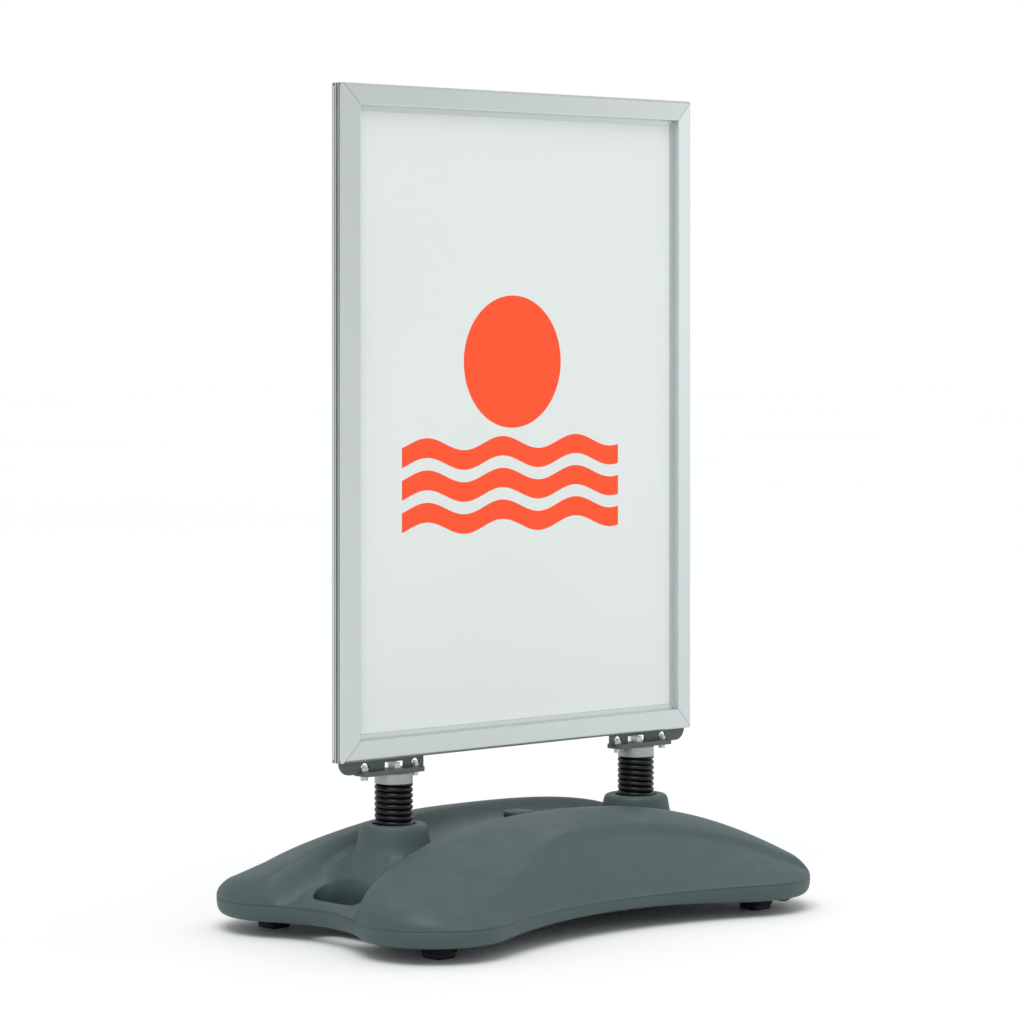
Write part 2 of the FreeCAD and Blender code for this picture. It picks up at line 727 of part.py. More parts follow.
def flap_section():
    """Thin-walled cover: rounded outer edge, sloping face, step down to the lip."""
    shoulder = frame_depth - flap_slope
    k = math.sqrt(0.5)
    inner_round = flap_round - flap_wall

    def corner(radius):
        return (flap_round - radius * k, shoulder - flap_round + radius * k)

    lip_top = lip_bottom + lip_thickness
    edges = []

    def line(a, b):
        edges.append(Part.LineSegment(section_point(*a), section_point(*b)).toShape())

    def arc(a, m, b):
        edges.append(Part.Arc(section_point(*a), section_point(*m), section_point(*b)).toShape())

    foot_out, foot_in = (0, hinge_depth), (claw_radius - hinge_radius - 0.3, hinge_depth)
    wall_in = (flap_wall, hinge_depth + 1.2)
    a0, a1 = (0, shoulder - flap_round), (flap_round, shoulder)
    face_end = (flap_face - flap_nose, frame_depth)
    nose = (flap_face - flap_nose * (1 - k), frame_depth - flap_nose * (1 - k))
    edge_top = (flap_face, frame_depth - flap_nose)
    step = (flap_face + flap_step, lip_top)
    inside = (flap_face - flap_wall, lip_bottom)
    under = (flap_face - flap_wall - 0.4, frame_depth - flap_wall)
    b1, b0 = (flap_round, shoulder - flap_wall), (flap_wall, shoulder - flap_round)
    line(foot_out, a0)
    arc(a0, corner(flap_round), a1)
    line(a1, face_end)
    arc(face_end, nose, edge_top)
    line(edge_top, step)
    line(step, (border, lip_top))
    line((border, lip_top), (border, lip_bottom))
    line((border, lip_bottom), inside)
    line(inside, under)
    line(under, b1)
    arc(b1, corner(inner_round), b0)
    line(b0, wall_in)
    line(wall_in, foot_in)
    line(foot_in, foot_out)
    return Part.Face(Part.Wire(edges))


def claw_section():
    return ring_sector(claw_radius, hinge_radius + claw_clearance, claw_start, claw_end)


def rail_section():
    """Base profile: floor, outer lip, hinge bead on its neck, key groove and panel stop."""
    floor = section_polygon([(0, 0), (rail_width, 0), (rail_width, rail_floor), (rib, rail_floor),
                             (rib, rail_lip), (0, rail_lip)])
    bead = Part.Face(Part.Wire(Part.makeCircle(hinge_radius, section_point(hinge_u, hinge_depth), X_AXIS)))
    a = math.radians(neck_angle)
    run = (hinge_depth - rail_floor / 2) / -math.sin(a)
    du, dv = hinge_neck / 2 * -math.sin(a), hinge_neck / 2 * math.cos(a)
    foot_u, foot_v = hinge_u + run * math.cos(a), rail_floor / 2
    neck = section_polygon([(hinge_u - du, hinge_depth - dv), (foot_u - du, foot_v - dv),
                            (foot_u + du, foot_v + dv), (hinge_u + du, hinge_depth + dv)])
    ribs = []
    for u in (key_inset - key_clearance - rib, key_inset + key_width + key_clearance):
        top = rail_floor + key_thickness
        ribs.append(section_polygon([(u, rail_floor / 2), (u + rib, rail_floor / 2), (u + rib, top), (u, top)]))
    stop = panel_inset - key_clearance - rib
    stop_top = rail_floor + panel_thickness
    ribs.append(section_polygon([(stop, rail_floor / 2), (stop + rib, rail_floor / 2),
                                 (stop + rib, stop_top), (stop, stop_top)]))
    return floor.fuse([bead, neck] + ribs).removeSplitter()


def mitred(section, length, width, gap):
    """Section run along X for a side of the given length, its ends cut at 45 degrees."""
    bar = section.extrude(V(length, 0, 0))
    bar.translate(V(-length / 2, 0, 0))
    half = length / 2 - gap * math.sqrt(2)
    blade = polygon([(-half, 1, 0), (half, 1, 0), (half - width, 1, width), (-half + width, 1, width)])
    return bar.common(blade.extrude(V(0, -frame_depth - 2, 0)))


SIDES = ("bottom", "right", "top", "left")


def side_length(name):
    return frame_width if name in ("bottom", "top") else frame_height


def put_on_side(shape, name, back=0.0):
    """Moves a piece made for the bottom edge of the front frame to the named edge."""
    turn = {"bottom": 0, "right": -90, "top": 180, "left": 90}[name]
    offset = {"bottom": V(0, 0, -frame_height / 2), "top": V(0, 0, frame_height / 2),
              "left": V(-frame_width / 2, 0, 0), "right": V(frame_width / 2, 0, 0)}[name]
    placed = shape.copy()
    placed.rotate(V(0, 0, 0), Y_AXIS, turn)
    placed.translate(offset + V(0, -frame_back, frame_bottom + frame_height / 2))
    return placed


def on_frame(shape, frame):
    """The rear frame is the front one turned round."""
    if frame == "rear":
        shape = shape.copy()
        shape.rotate(V(0, 0, 0), Z_AXIS, 180)
    return shape


def rail(name):
    bar = mitred(rail_section(), side_length(name), rail_width, 0.02)
    placed = put_on_side(bar, name)
    hole = screw_radius + screw_hole_clearance
    return single(placed.cut([screw_hole(x, z, hole) for x, z in screw_places()]))


def flap(name):
    """Cover of one side; its hinge claw stops short of the corners."""
    length = side_length(name)
    cover = mitred(flap_section(), length, border, mitre_gap)
    claw = claw_section().extrude(V(length - 2 * claw_cut_back, 0, 0))
    claw.translate(V(-length / 2 + claw_cut_back, 0, 0))
    skirt_end = hinge_depth + claw_radius + 0.4
    trims = [box(start, start + claw_cut_back, -skirt_end, 0, -1, hinge_u + claw_radius)
             for start in (-length / 2, length / 2 - claw_cut_back)]
    return single(put_on_side(cover.cut(trims).fuse(claw), name))


def corner_key(name):
    """Flat L in the grooves of two neighbouring rails."""
    start = key_inset
    length = side_length(name)
    thick = key_thickness
    y0 = -(rail_floor + thick)
    x0 = -length / 2 + start
    lying = box(x0, x0 + key_leg, y0, y0 + thick, start, start + key_width)
    standing = box(x0, x0 + key_width, y0, y0 + thick, start, start + key_leg)
    return put_on_side(lying.fuse(standing).removeSplitter(), name)


def leaf_spring(name, along):
    """Bent steel strip that presses the flap up or down past its middle position."""
    def strip(points):
        upper = [(u, v + leaf_thickness) for u, v in reversed(points)]
        return section_polygon(points + upper)
    path = [(u, rail_floor) for u in leaf_flat] + [leaf_bend, leaf_tip]
    leaf = strip(path).extrude(V(leaf_width, 0, 0))
    leaf.translate(V(along - leaf_width / 2, 0, 0))
    return put_on_side(leaf, name)


def sheet(inset, v0, thickness):
    """Flat sheet with its edges inset from the frame's outer edges."""
    half_w, half_h = frame_width / 2 - inset, frame_height / 2 - inset
    middle = frame_bottom + frame_height / 2
    y1 = -frame_back - v0
    return box(-half_w, half_w, y1 - thickness, y1, middle - half_h, middle + half_h)


def poster():
    middle = frame_bottom + frame_height / 2
    y1 = -frame_back - rail_floor - panel_thickness
    return box(-paper_width / 2, paper_width / 2, y1 - paper_thickness, y1,
               middle - paper_height / 2, middle + paper_height / 2)


def clamp_screw(x, z):
    y_seat = -frame_back - rail_floor
    head = Part.makeCylinder(screw_head_radius, screw_head_height, V(x, y_seat - screw_head_height, z), Y_AXIS)
    shank = Part.makeCylinder(screw_radius, rail_floor + plate_thickness / 2 - 0.1, V(x, y_seat, z), Y_AXIS)
    return head.fuse(shank)


def leaf_positions(name):
    reach = side_length(name) / 2 - leaf_from_corner
    return (-reach, reach)


def frame_pieces(frame):
    """Every node of one snap frame."""
    nodes = {}
    for name in SIDES:
        nodes[f"{frame}_rail_{name}"] = rail(name)
        nodes[f"{frame}_flap_{name}"] = flap(name)
    nodes[f"{frame}_corner_keys"] = group([corner_key(name) for name in SIDES])
    nodes[f"{frame}_flap_springs"] = group([leaf_spring(name, along) for name in SIDES
                                            for along in leaf_positions(name)])
    nodes[f"{frame}_back_panel"] = sheet(panel_inset, rail_floor, panel_thickness)
    nodes[f"{frame}_poster"] = poster()
    nodes[f"{frame}_cover_sheet"] = sheet(cover_inset, rail_floor + panel_thickness + paper_thickness,
                                          cover_thickness)
    nodes[f"{frame}_clamp_screws"] = group([clamp_screw(x, z) for x, z in screw_places()])
    return {node: on_frame(shape, frame) for node, shape in nodes.items()}


# ---------------------------------------------------------------- all nodes
def all_nodes():
    nodes = {"base_tank": base_tank(), "filler_cap": filler_cap(), "filler_cap_seal": filler_cap_seal()}
    for (x, y), corner in zip(foot_positions(), ("left_front", "left_rear", "right_front", "right_rear")):
        nodes[f"foot_{corner}"] = foot(x, y)
    nodes["foot_screws"] = group([foot_screw(x, y) for x, y in foot_positions()])
    for side, name in ((-1, "front"), (1, "rear")):
        nodes[f"wheel_{name}"] = wheel(side)
        nodes[f"wheel_axle_{name}"] = axle_at(side, axle_radius, axle_length)
    for side, name in ((-1, "left"), (1, "right")):
        nodes[f"spring_{name}"] = spring(side)
        nodes[f"spring_lower_fitting_{name}"] = spring_lower_fitting(side)
        nodes[f"spring_upper_fitting_{name}"] = spring_upper_fitting(side)
        nodes[f"spring_plate_{name}"] = spring_plate(side)
        nodes[f"lower_bracket_{name}"] = lower_bracket(side)
        nodes[f"joining_plate_{name}"] = joining_plate(side)
    both = (-1, 1)
    nodes["anchor_bolts"] = group([anchor_bolt(side) for side in both])
    nodes["anchor_washers"] = group([anchor_washer(side) for side in both])
    nodes["plate_bolts"] = group([plate_bolt(x) for side in both for x in bolt_places(side)])
    nodes["plate_nuts"] = group([plate_nut(x) for side in both for x in bolt_places(side)])
    nodes["centre_studs"] = group([centre_stud(side) for side in both])
    nodes["centre_nuts"] = group([centre_nut(side) for side in both])
    nodes.update(frame_pieces("front"))
    nodes.update(frame_pieces("rear"))
    return nodes


os.makedirs("parts", exist_ok=True)
for node, shape in all_nodes().items():
    shape.exportStep(f"parts/{node}.step")
    print(f"{node}: {len(shape.Solids)} solids, {shape.Volume / 1000:.2f} cm3, valid {shape.isValid()}")
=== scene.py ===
"""Finish and fine shapes of a spring-mounted pavement sign, laid out as a Blender add-on.

Lengths are metres in Blender; the moulded base's shape is worked out in millimetres, like its
drawing, and scaled when its mesh is made.
"""

import math
import bpy
import bmesh
import numpy as np
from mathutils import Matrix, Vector
from bpy.props import FloatProperty, FloatVectorProperty, IntProperty, PointerProperty


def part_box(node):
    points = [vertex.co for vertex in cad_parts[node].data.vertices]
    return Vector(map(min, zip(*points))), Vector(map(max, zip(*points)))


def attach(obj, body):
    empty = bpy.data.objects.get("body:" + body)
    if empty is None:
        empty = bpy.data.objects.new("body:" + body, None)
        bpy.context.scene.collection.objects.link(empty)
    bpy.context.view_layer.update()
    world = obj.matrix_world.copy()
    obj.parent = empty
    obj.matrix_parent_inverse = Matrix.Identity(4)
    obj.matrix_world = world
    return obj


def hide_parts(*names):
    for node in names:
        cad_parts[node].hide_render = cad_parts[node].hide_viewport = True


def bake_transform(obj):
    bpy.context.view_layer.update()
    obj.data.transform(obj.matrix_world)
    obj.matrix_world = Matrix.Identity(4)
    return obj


bl_info = {
    "name": "Pavement Sign Workshop",
    "version": (1, 0, 0),
    "blender": (4, 5, 0),
    "location": "View3D > Sidebar > Pavement Sign",
    "description": "Builds the finish and fine shapes of a spring-mounted pavement sign",
    "category": "Object",
}

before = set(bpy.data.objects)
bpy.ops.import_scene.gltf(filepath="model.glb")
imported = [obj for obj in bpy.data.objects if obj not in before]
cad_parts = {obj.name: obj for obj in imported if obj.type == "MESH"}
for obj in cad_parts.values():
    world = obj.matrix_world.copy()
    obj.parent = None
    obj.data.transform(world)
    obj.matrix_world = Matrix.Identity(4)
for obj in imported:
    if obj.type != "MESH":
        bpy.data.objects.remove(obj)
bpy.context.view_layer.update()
MM = 0.001
tank_low, tank_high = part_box("base_tank")
coil_low, coil_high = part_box("spring_left")
FRAMES = ("front", "rear")
ENDS = ("left", "right")
neck_middle = [sum(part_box(f"spring_{end}"), Vector()) / 2 for end in ENDS]
NUMBER, WHOLE, VECTOR, MATERIAL, GEOMETRY = (
    "NodeSocketFloat", "NodeSocketInt", "NodeSocketVector", "NodeSocketMaterial", "NodeSocketGeometry")


# ---------------------------------------------------------------- settings
class BaseSettings(bpy.types.PropertyGroup):
    """Sizes of the moulded base that can be changed without touching its drawing."""
    crest: FloatProperty(name="Ridge height", description="Height of the two ridges at mid length",
                         default=0.156, unit="LENGTH")
    trough: FloatProperty(name="Trough height", description="Floor between the ridges at mid length",
                          default=0.141, unit="LENGTH")
    crease_round: FloatProperty(name="Crease rounding", description="How softly the side crease turns",
                                default=0.005, min=0.001, unit="LENGTH")
    edge_round: FloatProperty(name="Edge rounding", description="Width of the rounding above the side wall",
                              default=0.020, min=0.005, unit="LENGTH")
    columns: IntProperty(name="Columns", description="Mesh columns along the base", default=220, min=60)
    rows: IntProperty(name="Rows", description="Mesh rows across the base", default=170, min=40)


class SpringSettings(bpy.types.PropertyGroup):
    """The two coil springs."""
    wire: FloatProperty(name="Wire", description="Diameter of the wire", default=0.0076, unit="LENGTH")
    pitch: FloatProperty(name="Pitch", description="Rise of one turn", default=0.00775, unit="LENGTH")
    around: IntProperty(name="Steps in a turn", description="Mesh steps in one turn", default=56, min=16)


class FinishSettings(bpy.types.PropertyGroup):
    """Colours of the main finishes."""
    base: FloatVectorProperty(name="Base", description="Moulded base", subtype="COLOR",
                              default=(0.051, 0.082, 0.086), min=0, max=1)
    aluminium: FloatVectorProperty(name="Aluminium", description="Anodised frames", subtype="COLOR",
                                   default=(0.60, 0.655, 0.65), min=0, max=1)
    paper: FloatVectorProperty(name="Paper", description="Poster paper", subtype="COLOR",
                               default=(0.76, 0.81, 0.795), min=0, max=1)
    print_ink: FloatVectorProperty(name="Ink", description="Printed pattern", subtype="COLOR",
                                   default=(1.0, 0.068, 0.0), min=0, max=1)
    spring: FloatVectorProperty(name="Spring", description="Coated coil springs", subtype="COLOR",
                                default=(0.003, 0.0035, 0.004), min=0, max=1)


class StageSettings(bpy.types.PropertyGroup):
    """Camera and floor."""
    distance: FloatProperty(name="Distance", description="Camera to the sign's middle",
                            default=5.207, unit="LENGTH")
    bearing: FloatProperty(name="Bearing", description="Direction the camera looks from",
                           default=math.radians(42.9), subtype="ANGLE")
    height: FloatProperty(name="Height", description="Camera above the floor", default=0.835, unit="LENGTH")
    lens: FloatProperty(name="Lens", description="Focal length", default=131.3, unit="CAMERA")
    shift: FloatProperty(name="Shift", description="Vertical shift of the frame", default=-0.189)
    sideways: FloatProperty(name="Sideways", description="Camera moved across its view",
                            default=-0.0089, unit="LENGTH")


# ---------------------------------------------------------------- mesh helpers
def smoothstep(t):
    t = np.clip(t, 0.0, 1.0)
    return t * t * (3 - 2 * t)


def smooth_least(a, b, width):
    h = np.clip(0.5 + 0.5 * (b - a) / width, 0, 1)
    return b + (a - b) * h - width * h * (1 - h)


def smooth_most(a, b, width):
    return -smooth_least(-a, -b, width)


def link(mesh_object):
    bpy.context.scene.collection.objects.link(mesh_object)
    return mesh_object


def new_object(name, vertices, faces):
    """Plain closed mesh in metres with its doubles merged and its faces outwards."""
    mesh = bpy.data.meshes.new(name)
    mesh.from_pydata([tuple(v) for v in vertices], [], faces)
    work = bmesh.new()
    work.from_mesh(mesh)
    bmesh.ops.delete(work, geom=[v for v in work.verts if not v.link_faces], context="VERTS")
    bmesh.ops.remove_doubles(work, verts=work.verts, dist=2e-6)
    bmesh.ops.recalc_face_normals(work, faces=work.faces)
    work.to_mesh(mesh)
    work.free()
    mesh.shade_smooth()
    return link(bpy.data.objects.new(name, mesh))


def sharpen(piece, degrees):
    """Keeps edges that turn by more than an angle crisp."""
    work = bmesh.new()
    work.from_mesh(piece.data)
    limit = math.radians(degrees)
    for edge in work.edges:
        edge.smooth = not (edge.is_manifold and edge.calc_face_angle(0) > limit)
    work.to_mesh(piece.data)
    work.free()


def finish(piece, material):
    piece.data.materials.clear()
    piece.data.materials.append(material)
    return piece


def ring_faces(outer, inner):
    count = len(outer)
    return [(outer[k], outer[(k + 1) % count], inner[(k + 1) % count], inner[k]) for k in range(count)]


# ---------------------------------------------------------------- moulded base
class BaseShape:
    """The base's outline from above and the heights of its surfaces, in millimetres."""

    lobe_radius = 105.0
    end_waist, side_waist = 40.0, 55.0
    crest_inset, crest_spread = 66.0, 34.0
    trough_edge, ridge_flat = 38.0, 2.0
    reference_from_end = 41.5
    crest_fall, crest_fall_end = 37.0, 27.0
    trough_fall, trough_fall_end = 61.0, 26.5
    rim = 47.0                   # where the rounded upper edge meets the side wall
    seam = 45.0                  # parting line of the mould
    ground_gap, arch_rise, arch_span = 22.0, 7.0, 460.0
    # soft crease along each side: its distance out at the slot end, how far it comes in, and goes out again
    crease_out, crease_in, crease_out_again, crease_bend = 238.0, 108.0, 88.0, 1.6
    crease_in_from, crease_in_over, crease_again_from, crease_again_over = -340.0, 400.0, 100.0, 270.0
    # how far it lies below the ridge, and the more of it towards each end
    drop_middle, drop_slot_end, drop_wheel_end = 17.5, 37.5, 6.0
    drop_slot_from, drop_slot_over, drop_wheel_from, drop_wheel_over = -255.0, 190.0, 50.0, 260.0
    crease_above_rim = 7.0
    band_power, inward_slope = 1.8, 2.4  # how the band above the crease curves, and the face runs on under it
    step_drop, step_run = 8.5, 9.0       # soft step down on to the side faces
    step_from, step_over = -210.0, 150.0
    least_face = 8.0                     # narrowest side face the slopes are worked out for
    neck_top, neck_wall_foot, flare_start = 153.0, 49.0, 129.0
    flare_drop, flare_spread, flare_tail = 45.0, 16.0, 0.012
    flare_blend = 9.0
    neck_x = 230.5
    slot_from_end, slot_run, slot_half = 72.5, 34.0, 18.0
    slot_dip, slot_soft = 4.5, 12.0
    wheel_from_end, wheel_from_side = 45.5, 72.0
    pocket_half, pocket_top = (22.6, 10.4), 50.0

    def __init__(self, settings):
        self.half_length = tank_high.x / MM
        self.half_depth = tank_high.y / MM
        self.crest = settings.crest / MM
        self.trough = settings.trough / MM
        self.crease_round = settings.crease_round / MM
        self.edge_round = settings.edge_round / MM
        self.lobe_x = self.half_length - self.lobe_radius
        self.lobe_y = self.half_depth - self.lobe_radius
        end_edge, side_edge = self.half_length - self.end_waist, self.half_depth - self.side_waist
        self.end_radius = self.waist(self.lobe_y, end_edge - self.lobe_x)
        self.side_radius = self.waist(self.lobe_x, side_edge - self.lobe_y)
        self.end_centre = end_edge + self.end_radius
        self.side_centre = side_edge + self.side_radius
        self.to_end = math.atan2(-self.lobe_y, self.end_centre - self.lobe_x)
        self.to_side = math.atan2(self.side_centre - self.lobe_y, -self.lobe_x)
        self.reference_x = self.half_length - self.reference_from_end

    def waist(self, along, gap):
        return (along ** 2 + gap ** 2 - self.lobe_radius ** 2) / (2 * (self.lobe_radius - gap))

    def bulge(self, start, inset, steps):
        """Points round a lobe from where a waist ends to the nose, without the first."""
        reach, nose = self.lobe_radius - inset, (self.to_end + self.to_side) / 2
        return [(self.lobe_x + reach * math.cos(a), self.lobe_y + reach * math.sin(a))
                for a in np.linspace(start, nose, steps)[1:]]

    def half_side(self, inset, steps=160):
        """Points from the middle of the rear side to the right lobe's nose."""
        reach = self.side_radius + inset
        turn = math.atan2(self.lobe_x, self.side_centre - self.lobe_y)
        hollow = [(reach * math.sin(a), self.side_centre - reach * math.cos(a))
                  for a in np.linspace(0, turn, steps)]
        return np.array(hollow + self.bulge(self.to_side, inset, steps))

    def half_end(self, inset, steps=160):
        """Points from the middle of the right end to the rear lobe's nose."""
        reach = self.end_radius + inset
        turn = math.atan2(self.lobe_y, self.end_centre - self.lobe_x)
        hollow = [(self.end_centre - reach * math.cos(a), reach * math.sin(a))
                  for a in np.linspace(0, turn, steps)]
        return np.array(hollow + self.bulge(self.to_end, inset, steps))

    @staticmethod
    def even(points, count):
        """The same line through count + 1 evenly spaced points."""
        steps = np.hypot(*np.diff(points, axis=0).T)
        along = np.concatenate([[0], np.cumsum(steps)])
        at = np.linspace(0, along[-1], count + 1)
        return np.stack([np.interp(at, along, points[:, k]) for k in (0, 1)], axis=1)

    def net(self, inset, columns, rows):
        """Grid of points inside the outline that follows its four sides."""
        flip = np.array([-1.0, 1.0])
        side, end = self.half_side(inset), self.half_end(inset)
        rear = self.even(np.concatenate([(side * flip)[:0:-1], side]), columns)
        right = self.even(np.concatenate([(end * -flip)[:0:-1], end]), rows)
        front, left = rear * -flip, right * flip
        u = np.linspace(0, 1, columns + 1)[:, None, None]
        v = np.linspace(0, 1, rows + 1)[None, :, None]
        corners = ((1 - u) * (1 - v) * front[0] + u * (1 - v) * front[-1]
                   + (1 - u) * v * rear[0] + u * v * rear[-1])
        return ((1 - v) * front[:, None] + v * rear[:, None]
                + (1 - u) * left[None] + u * right[None] - corners)

    def edge_distance(self, x, y):
        x, y = np.abs(x), np.abs(y)
        angle = np.arctan2(y - self.lobe_y, x - self.lobe_x)
        lobe = self.lobe_radius - np.hypot(x - self.lobe_x, y - self.lobe_y)
        ends = np.hypot(x - self.end_centre, y) - self.end_radius
        sides = np.hypot(x, y - self.side_centre) - self.side_radius
        on_lobe = (angle > self.to_end) & (angle < self.to_side)
        return np.where(on_lobe, lobe, np.minimum(ends, sides))

    def crease(self, x, crest):
        """Distance from the centre plane and height of the soft crease along each side."""
        again = np.clip(x - self.crease_again_from, 0, None) / self.crease_again_over
        away = (self.crease_out - self.crease_in * smoothstep((x - self.crease_in_from) / self.crease_in_over)
                + self.crease_out_again * again ** self.crease_bend)
        drop = (self.drop_middle
                + self.drop_slot_end * (1 - smoothstep((x - self.drop_slot_from) / self.drop_slot_over))
                + self.drop_wheel_end * smoothstep((x - self.drop_wheel_from) / self.drop_wheel_over))
        return away, np.maximum(crest - drop, self.rim + self.crease_above_rim)

    def height(self, x, y):
        """Upper surface, with the flares of the two spring necks."""
        ratio = (x / self.reference_x) ** 2
        crest = self.crest - self.crest_fall * ratio - self.crest_fall_end * ratio ** 2
        floor = self.trough - self.trough_fall * ratio - self.trough_fall_end * ratio ** 2
        ridge = self.crest_inset + self.crest_spread * ratio
        away = np.abs(y)
        climb = smoothstep((away - (ridge - self.trough_edge)) / (self.trough_edge - self.ridge_flat))
        inner = floor + (crest - floor) * climb
        crease_y, crease_z = self.crease(x, crest)
        out = np.clip((away - ridge) / (crease_y - ridge), 0, None)
        band = crest - (crest - crease_z) * out ** self.band_power
        held = np.minimum(np.abs(x), self.lobe_x)
        half = self.side_centre - np.sqrt(self.side_radius ** 2 - held ** 2)
        share = (away - crease_y) / np.maximum(half - crease_y, self.least_face)
        step = smoothstep((away - crease_y + self.step_run / 3) / self.step_run)
        step *= smoothstep((x - self.step_from) / self.step_over) * (1 - np.clip(share, 0, 1))
        inward = self.inward_slope * (crest - crease_z) / (crease_y - ridge)
        face = np.where(share > 0, crease_z - (crease_z - self.rim) * share,
                        crease_z + (crease_y - away) * inward)
        outer = smooth_least(band, face, self.crease_round) - self.step_drop * step
        level = np.where(away < ridge, inner, outer)
        t = np.clip(self.edge_distance(x, y) / self.edge_round, 0, 1)
        level = self.rim + (np.maximum(level, self.rim + 1) - self.rim) * np.sqrt(1 - (1 - t) ** 2)
        for side in (-1, 1):
            away = np.clip(np.hypot(x - side * self.neck_x, y) - self.neck_wall_foot, 0, None)
            fall = self.flare_drop * (1 - np.exp(-away / self.flare_spread)) + self.flare_tail * away ** 2
            level = smooth_most(level, self.flare_start - fall, self.flare_blend)
        beside = np.clip(self.slot_distance(x, y) / self.slot_soft, 0, 1)
        return level - self.slot_dip * (1 - beside) ** 2

    def slot_distance(self, x, y):
        """How far a point lies outside the hand slot."""
        middle = self.slot_from_end - self.half_length
        return np.hypot(x - middle, np.clip(abs(y) - self.slot_run, 0, None)) - self.slot_half

    def underside(self, x):
        half = self.arch_span / 2
        radius = (half ** 2 + self.arch_rise ** 2) / (2 * self.arch_rise)
        held = np.minimum(np.abs(x), half)
        return self.ground_gap + self.arch_rise - radius + np.sqrt(radius ** 2 - held ** 2)


class BaseMesh:
    """Collects the base's vertices and faces: upper net, side wall, underside, and what opens in them."""

    top_inset, bottom_inset = 5.0, 13.0

    def __init__(self, shape, columns, rows):
        self.shape, self.columns, self.rows = shape, columns, rows
        self.vertices, self.faces = [], []
        self.top = self.surface(shape.net(self.top_inset, columns, rows), shape.height)
        self.bottom = self.surface(shape.net(self.bottom_inset, columns, rows),
                                   lambda x, y: shape.underside(x))
        self.open_top = np.zeros((columns, rows), bool)
        self.open_bottom = np.zeros((columns, rows), bool)

    def add(self, points):
        start = len(self.vertices)
        self.vertices += [tuple(float(c) for c in p) for p in points]
        return list(range(start, len(self.vertices)))

    def surface(self, plan, level):
        x, y = plan[..., 0], plan[..., 1]
        points = np.stack([x, y, level(x, y)], axis=-1).reshape(-1, 3)
        return np.array(self.add(points)).reshape(plan.shape[:2])

    @staticmethod
    def loop(grid, i0, i1, j0, j1):
        return ([grid[i, j0] for i in range(i0, i1)] + [grid[i1, j] for j in range(j0, j1)]
                + [grid[i, j1] for i in range(i1, i0, -1)] + [grid[i0, j] for j in range(j1, j0, -1)])

    def block(self, grid, inside):
        """Index limits of the smallest block of cells round every vertex that is inside."""
        points = np.array(self.vertices)[grid]
        found = np.argwhere(inside(points[..., 0], points[..., 1]))
        (i0, j0), (i1, j1) = found.min(0) - 1, found.max(0) + 1
        if i0 < 1 or j0 < 1 or i1 >= self.columns or j1 >= self.rows:
            raise RuntimeError("an opening of the base runs over its edge")
        return int(i0), int(i1), int(j0), int(j1)

    def opening(self, grid, gone, centre, run, margin, rings):
        """Cuts a block out of a net and carries its edge inwards through rings of (distance, level).

        Distances are from a middle line along Y that is 2 * run long, and a level may be a function of x
        and y. Gives the last ring and the block's limits.
        """
        cx, cy = centre
        limits = self.block(
            grid, lambda x, y: np.hypot(x - cx, np.clip(abs(y - cy) - run, 0, None)) < margin)
        gone[limits[0]:limits[1], limits[2]:limits[3]] = True
        edge = last = self.loop(grid, *limits)
        for distance, level in rings:
            points = []
            for k in edge:
                x, y, _ = self.vertices[k]
                middle = cy + min(max(y - cy, -run), run)
                away = math.hypot(x - cx, y - middle)
                px, py = cx + (x - cx) / away * distance, middle + (y - middle) / away * distance
                points.append((px, py, level(px, py) if callable(level) else level))
            ring = self.add(points)
            self.faces += ring_faces(last, ring)
            last = ring
        return last, limits

    def pit(self, grid, gone, centre, margin, rings):
        """A round opening that is closed by a fan of triangles at its bottom."""
        ring, _ = self.opening(grid, gone, centre, 0, margin, rings)
        points = np.array([self.vertices[k] for k in ring])
        middle = self.add([points.mean(0)])[0]
        self.faces += [(ring[k], ring[(k + 1) % len(ring)], middle) for k in range(len(ring))]

    def side_wall(self):
        """From the upper net's edge out to the wall, over the parting line and round under the base."""
        shape = self.shape
        limits = (0, self.columns, 0, self.rows)
        edge = self.loop(self.top, *limits)
        points = np.array([self.vertices[k] for k in edge])[:, :2]
        along = np.roll(points, -1, axis=0) - np.roll(points, 1, axis=0)
        outward = np.stack([along[:, 1], -along[:, 0]], axis=1)
        outward /= np.hypot(*outward.T)[:, None]
        last = edge
        for inset in (3.6, 2.4, 1.4, 0.6, 0.15):
            at = points + outward * (self.top_inset - inset)
            ring = self.add(np.column_stack([at, shape.height(*at.T)]))
            self.faces += ring_faces(last, ring)
            last = ring
        seam, low = shape.seam, shape.ground_gap
        wall = [(0, shape.rim - 0.4), (0, seam + 0.6), (0.7, seam + 0.15), (0.7, seam - 0.15),
                (0.05, seam - 0.6), (0.1, seam - 4), (0.4, seam - 8), (1.1, low + 10.5), (2.2, low + 7.2),
                (3.8, low + 4.4), (6.0, low + 2.1), (8.6, low + 0.7), (11.0, low + 0.1)]
        for inset, level in wall:
            at = points + outward * (self.top_inset - inset)
            lift = (shape.underside(at[:, 0]) - low) * min(max((seam - 4 - level) / (seam - 4 - low), 0), 1)
            ring = self.add(np.column_stack([at, level + lift]))
            self.faces += ring_faces(last, ring)
            last = ring
        self.faces += ring_faces(last, self.loop(self.bottom, *limits))

    def nets(self):
        for grid, gone in ((self.top, self.open_top), (self.bottom, self.open_bottom)):
            for i in range(self.columns):
                for j in range(self.rows):
                    if not gone[i, j]:
                        self.faces.append((grid[i, j], grid[i + 1, j], grid[i + 1, j + 1], grid[i, j + 1]))


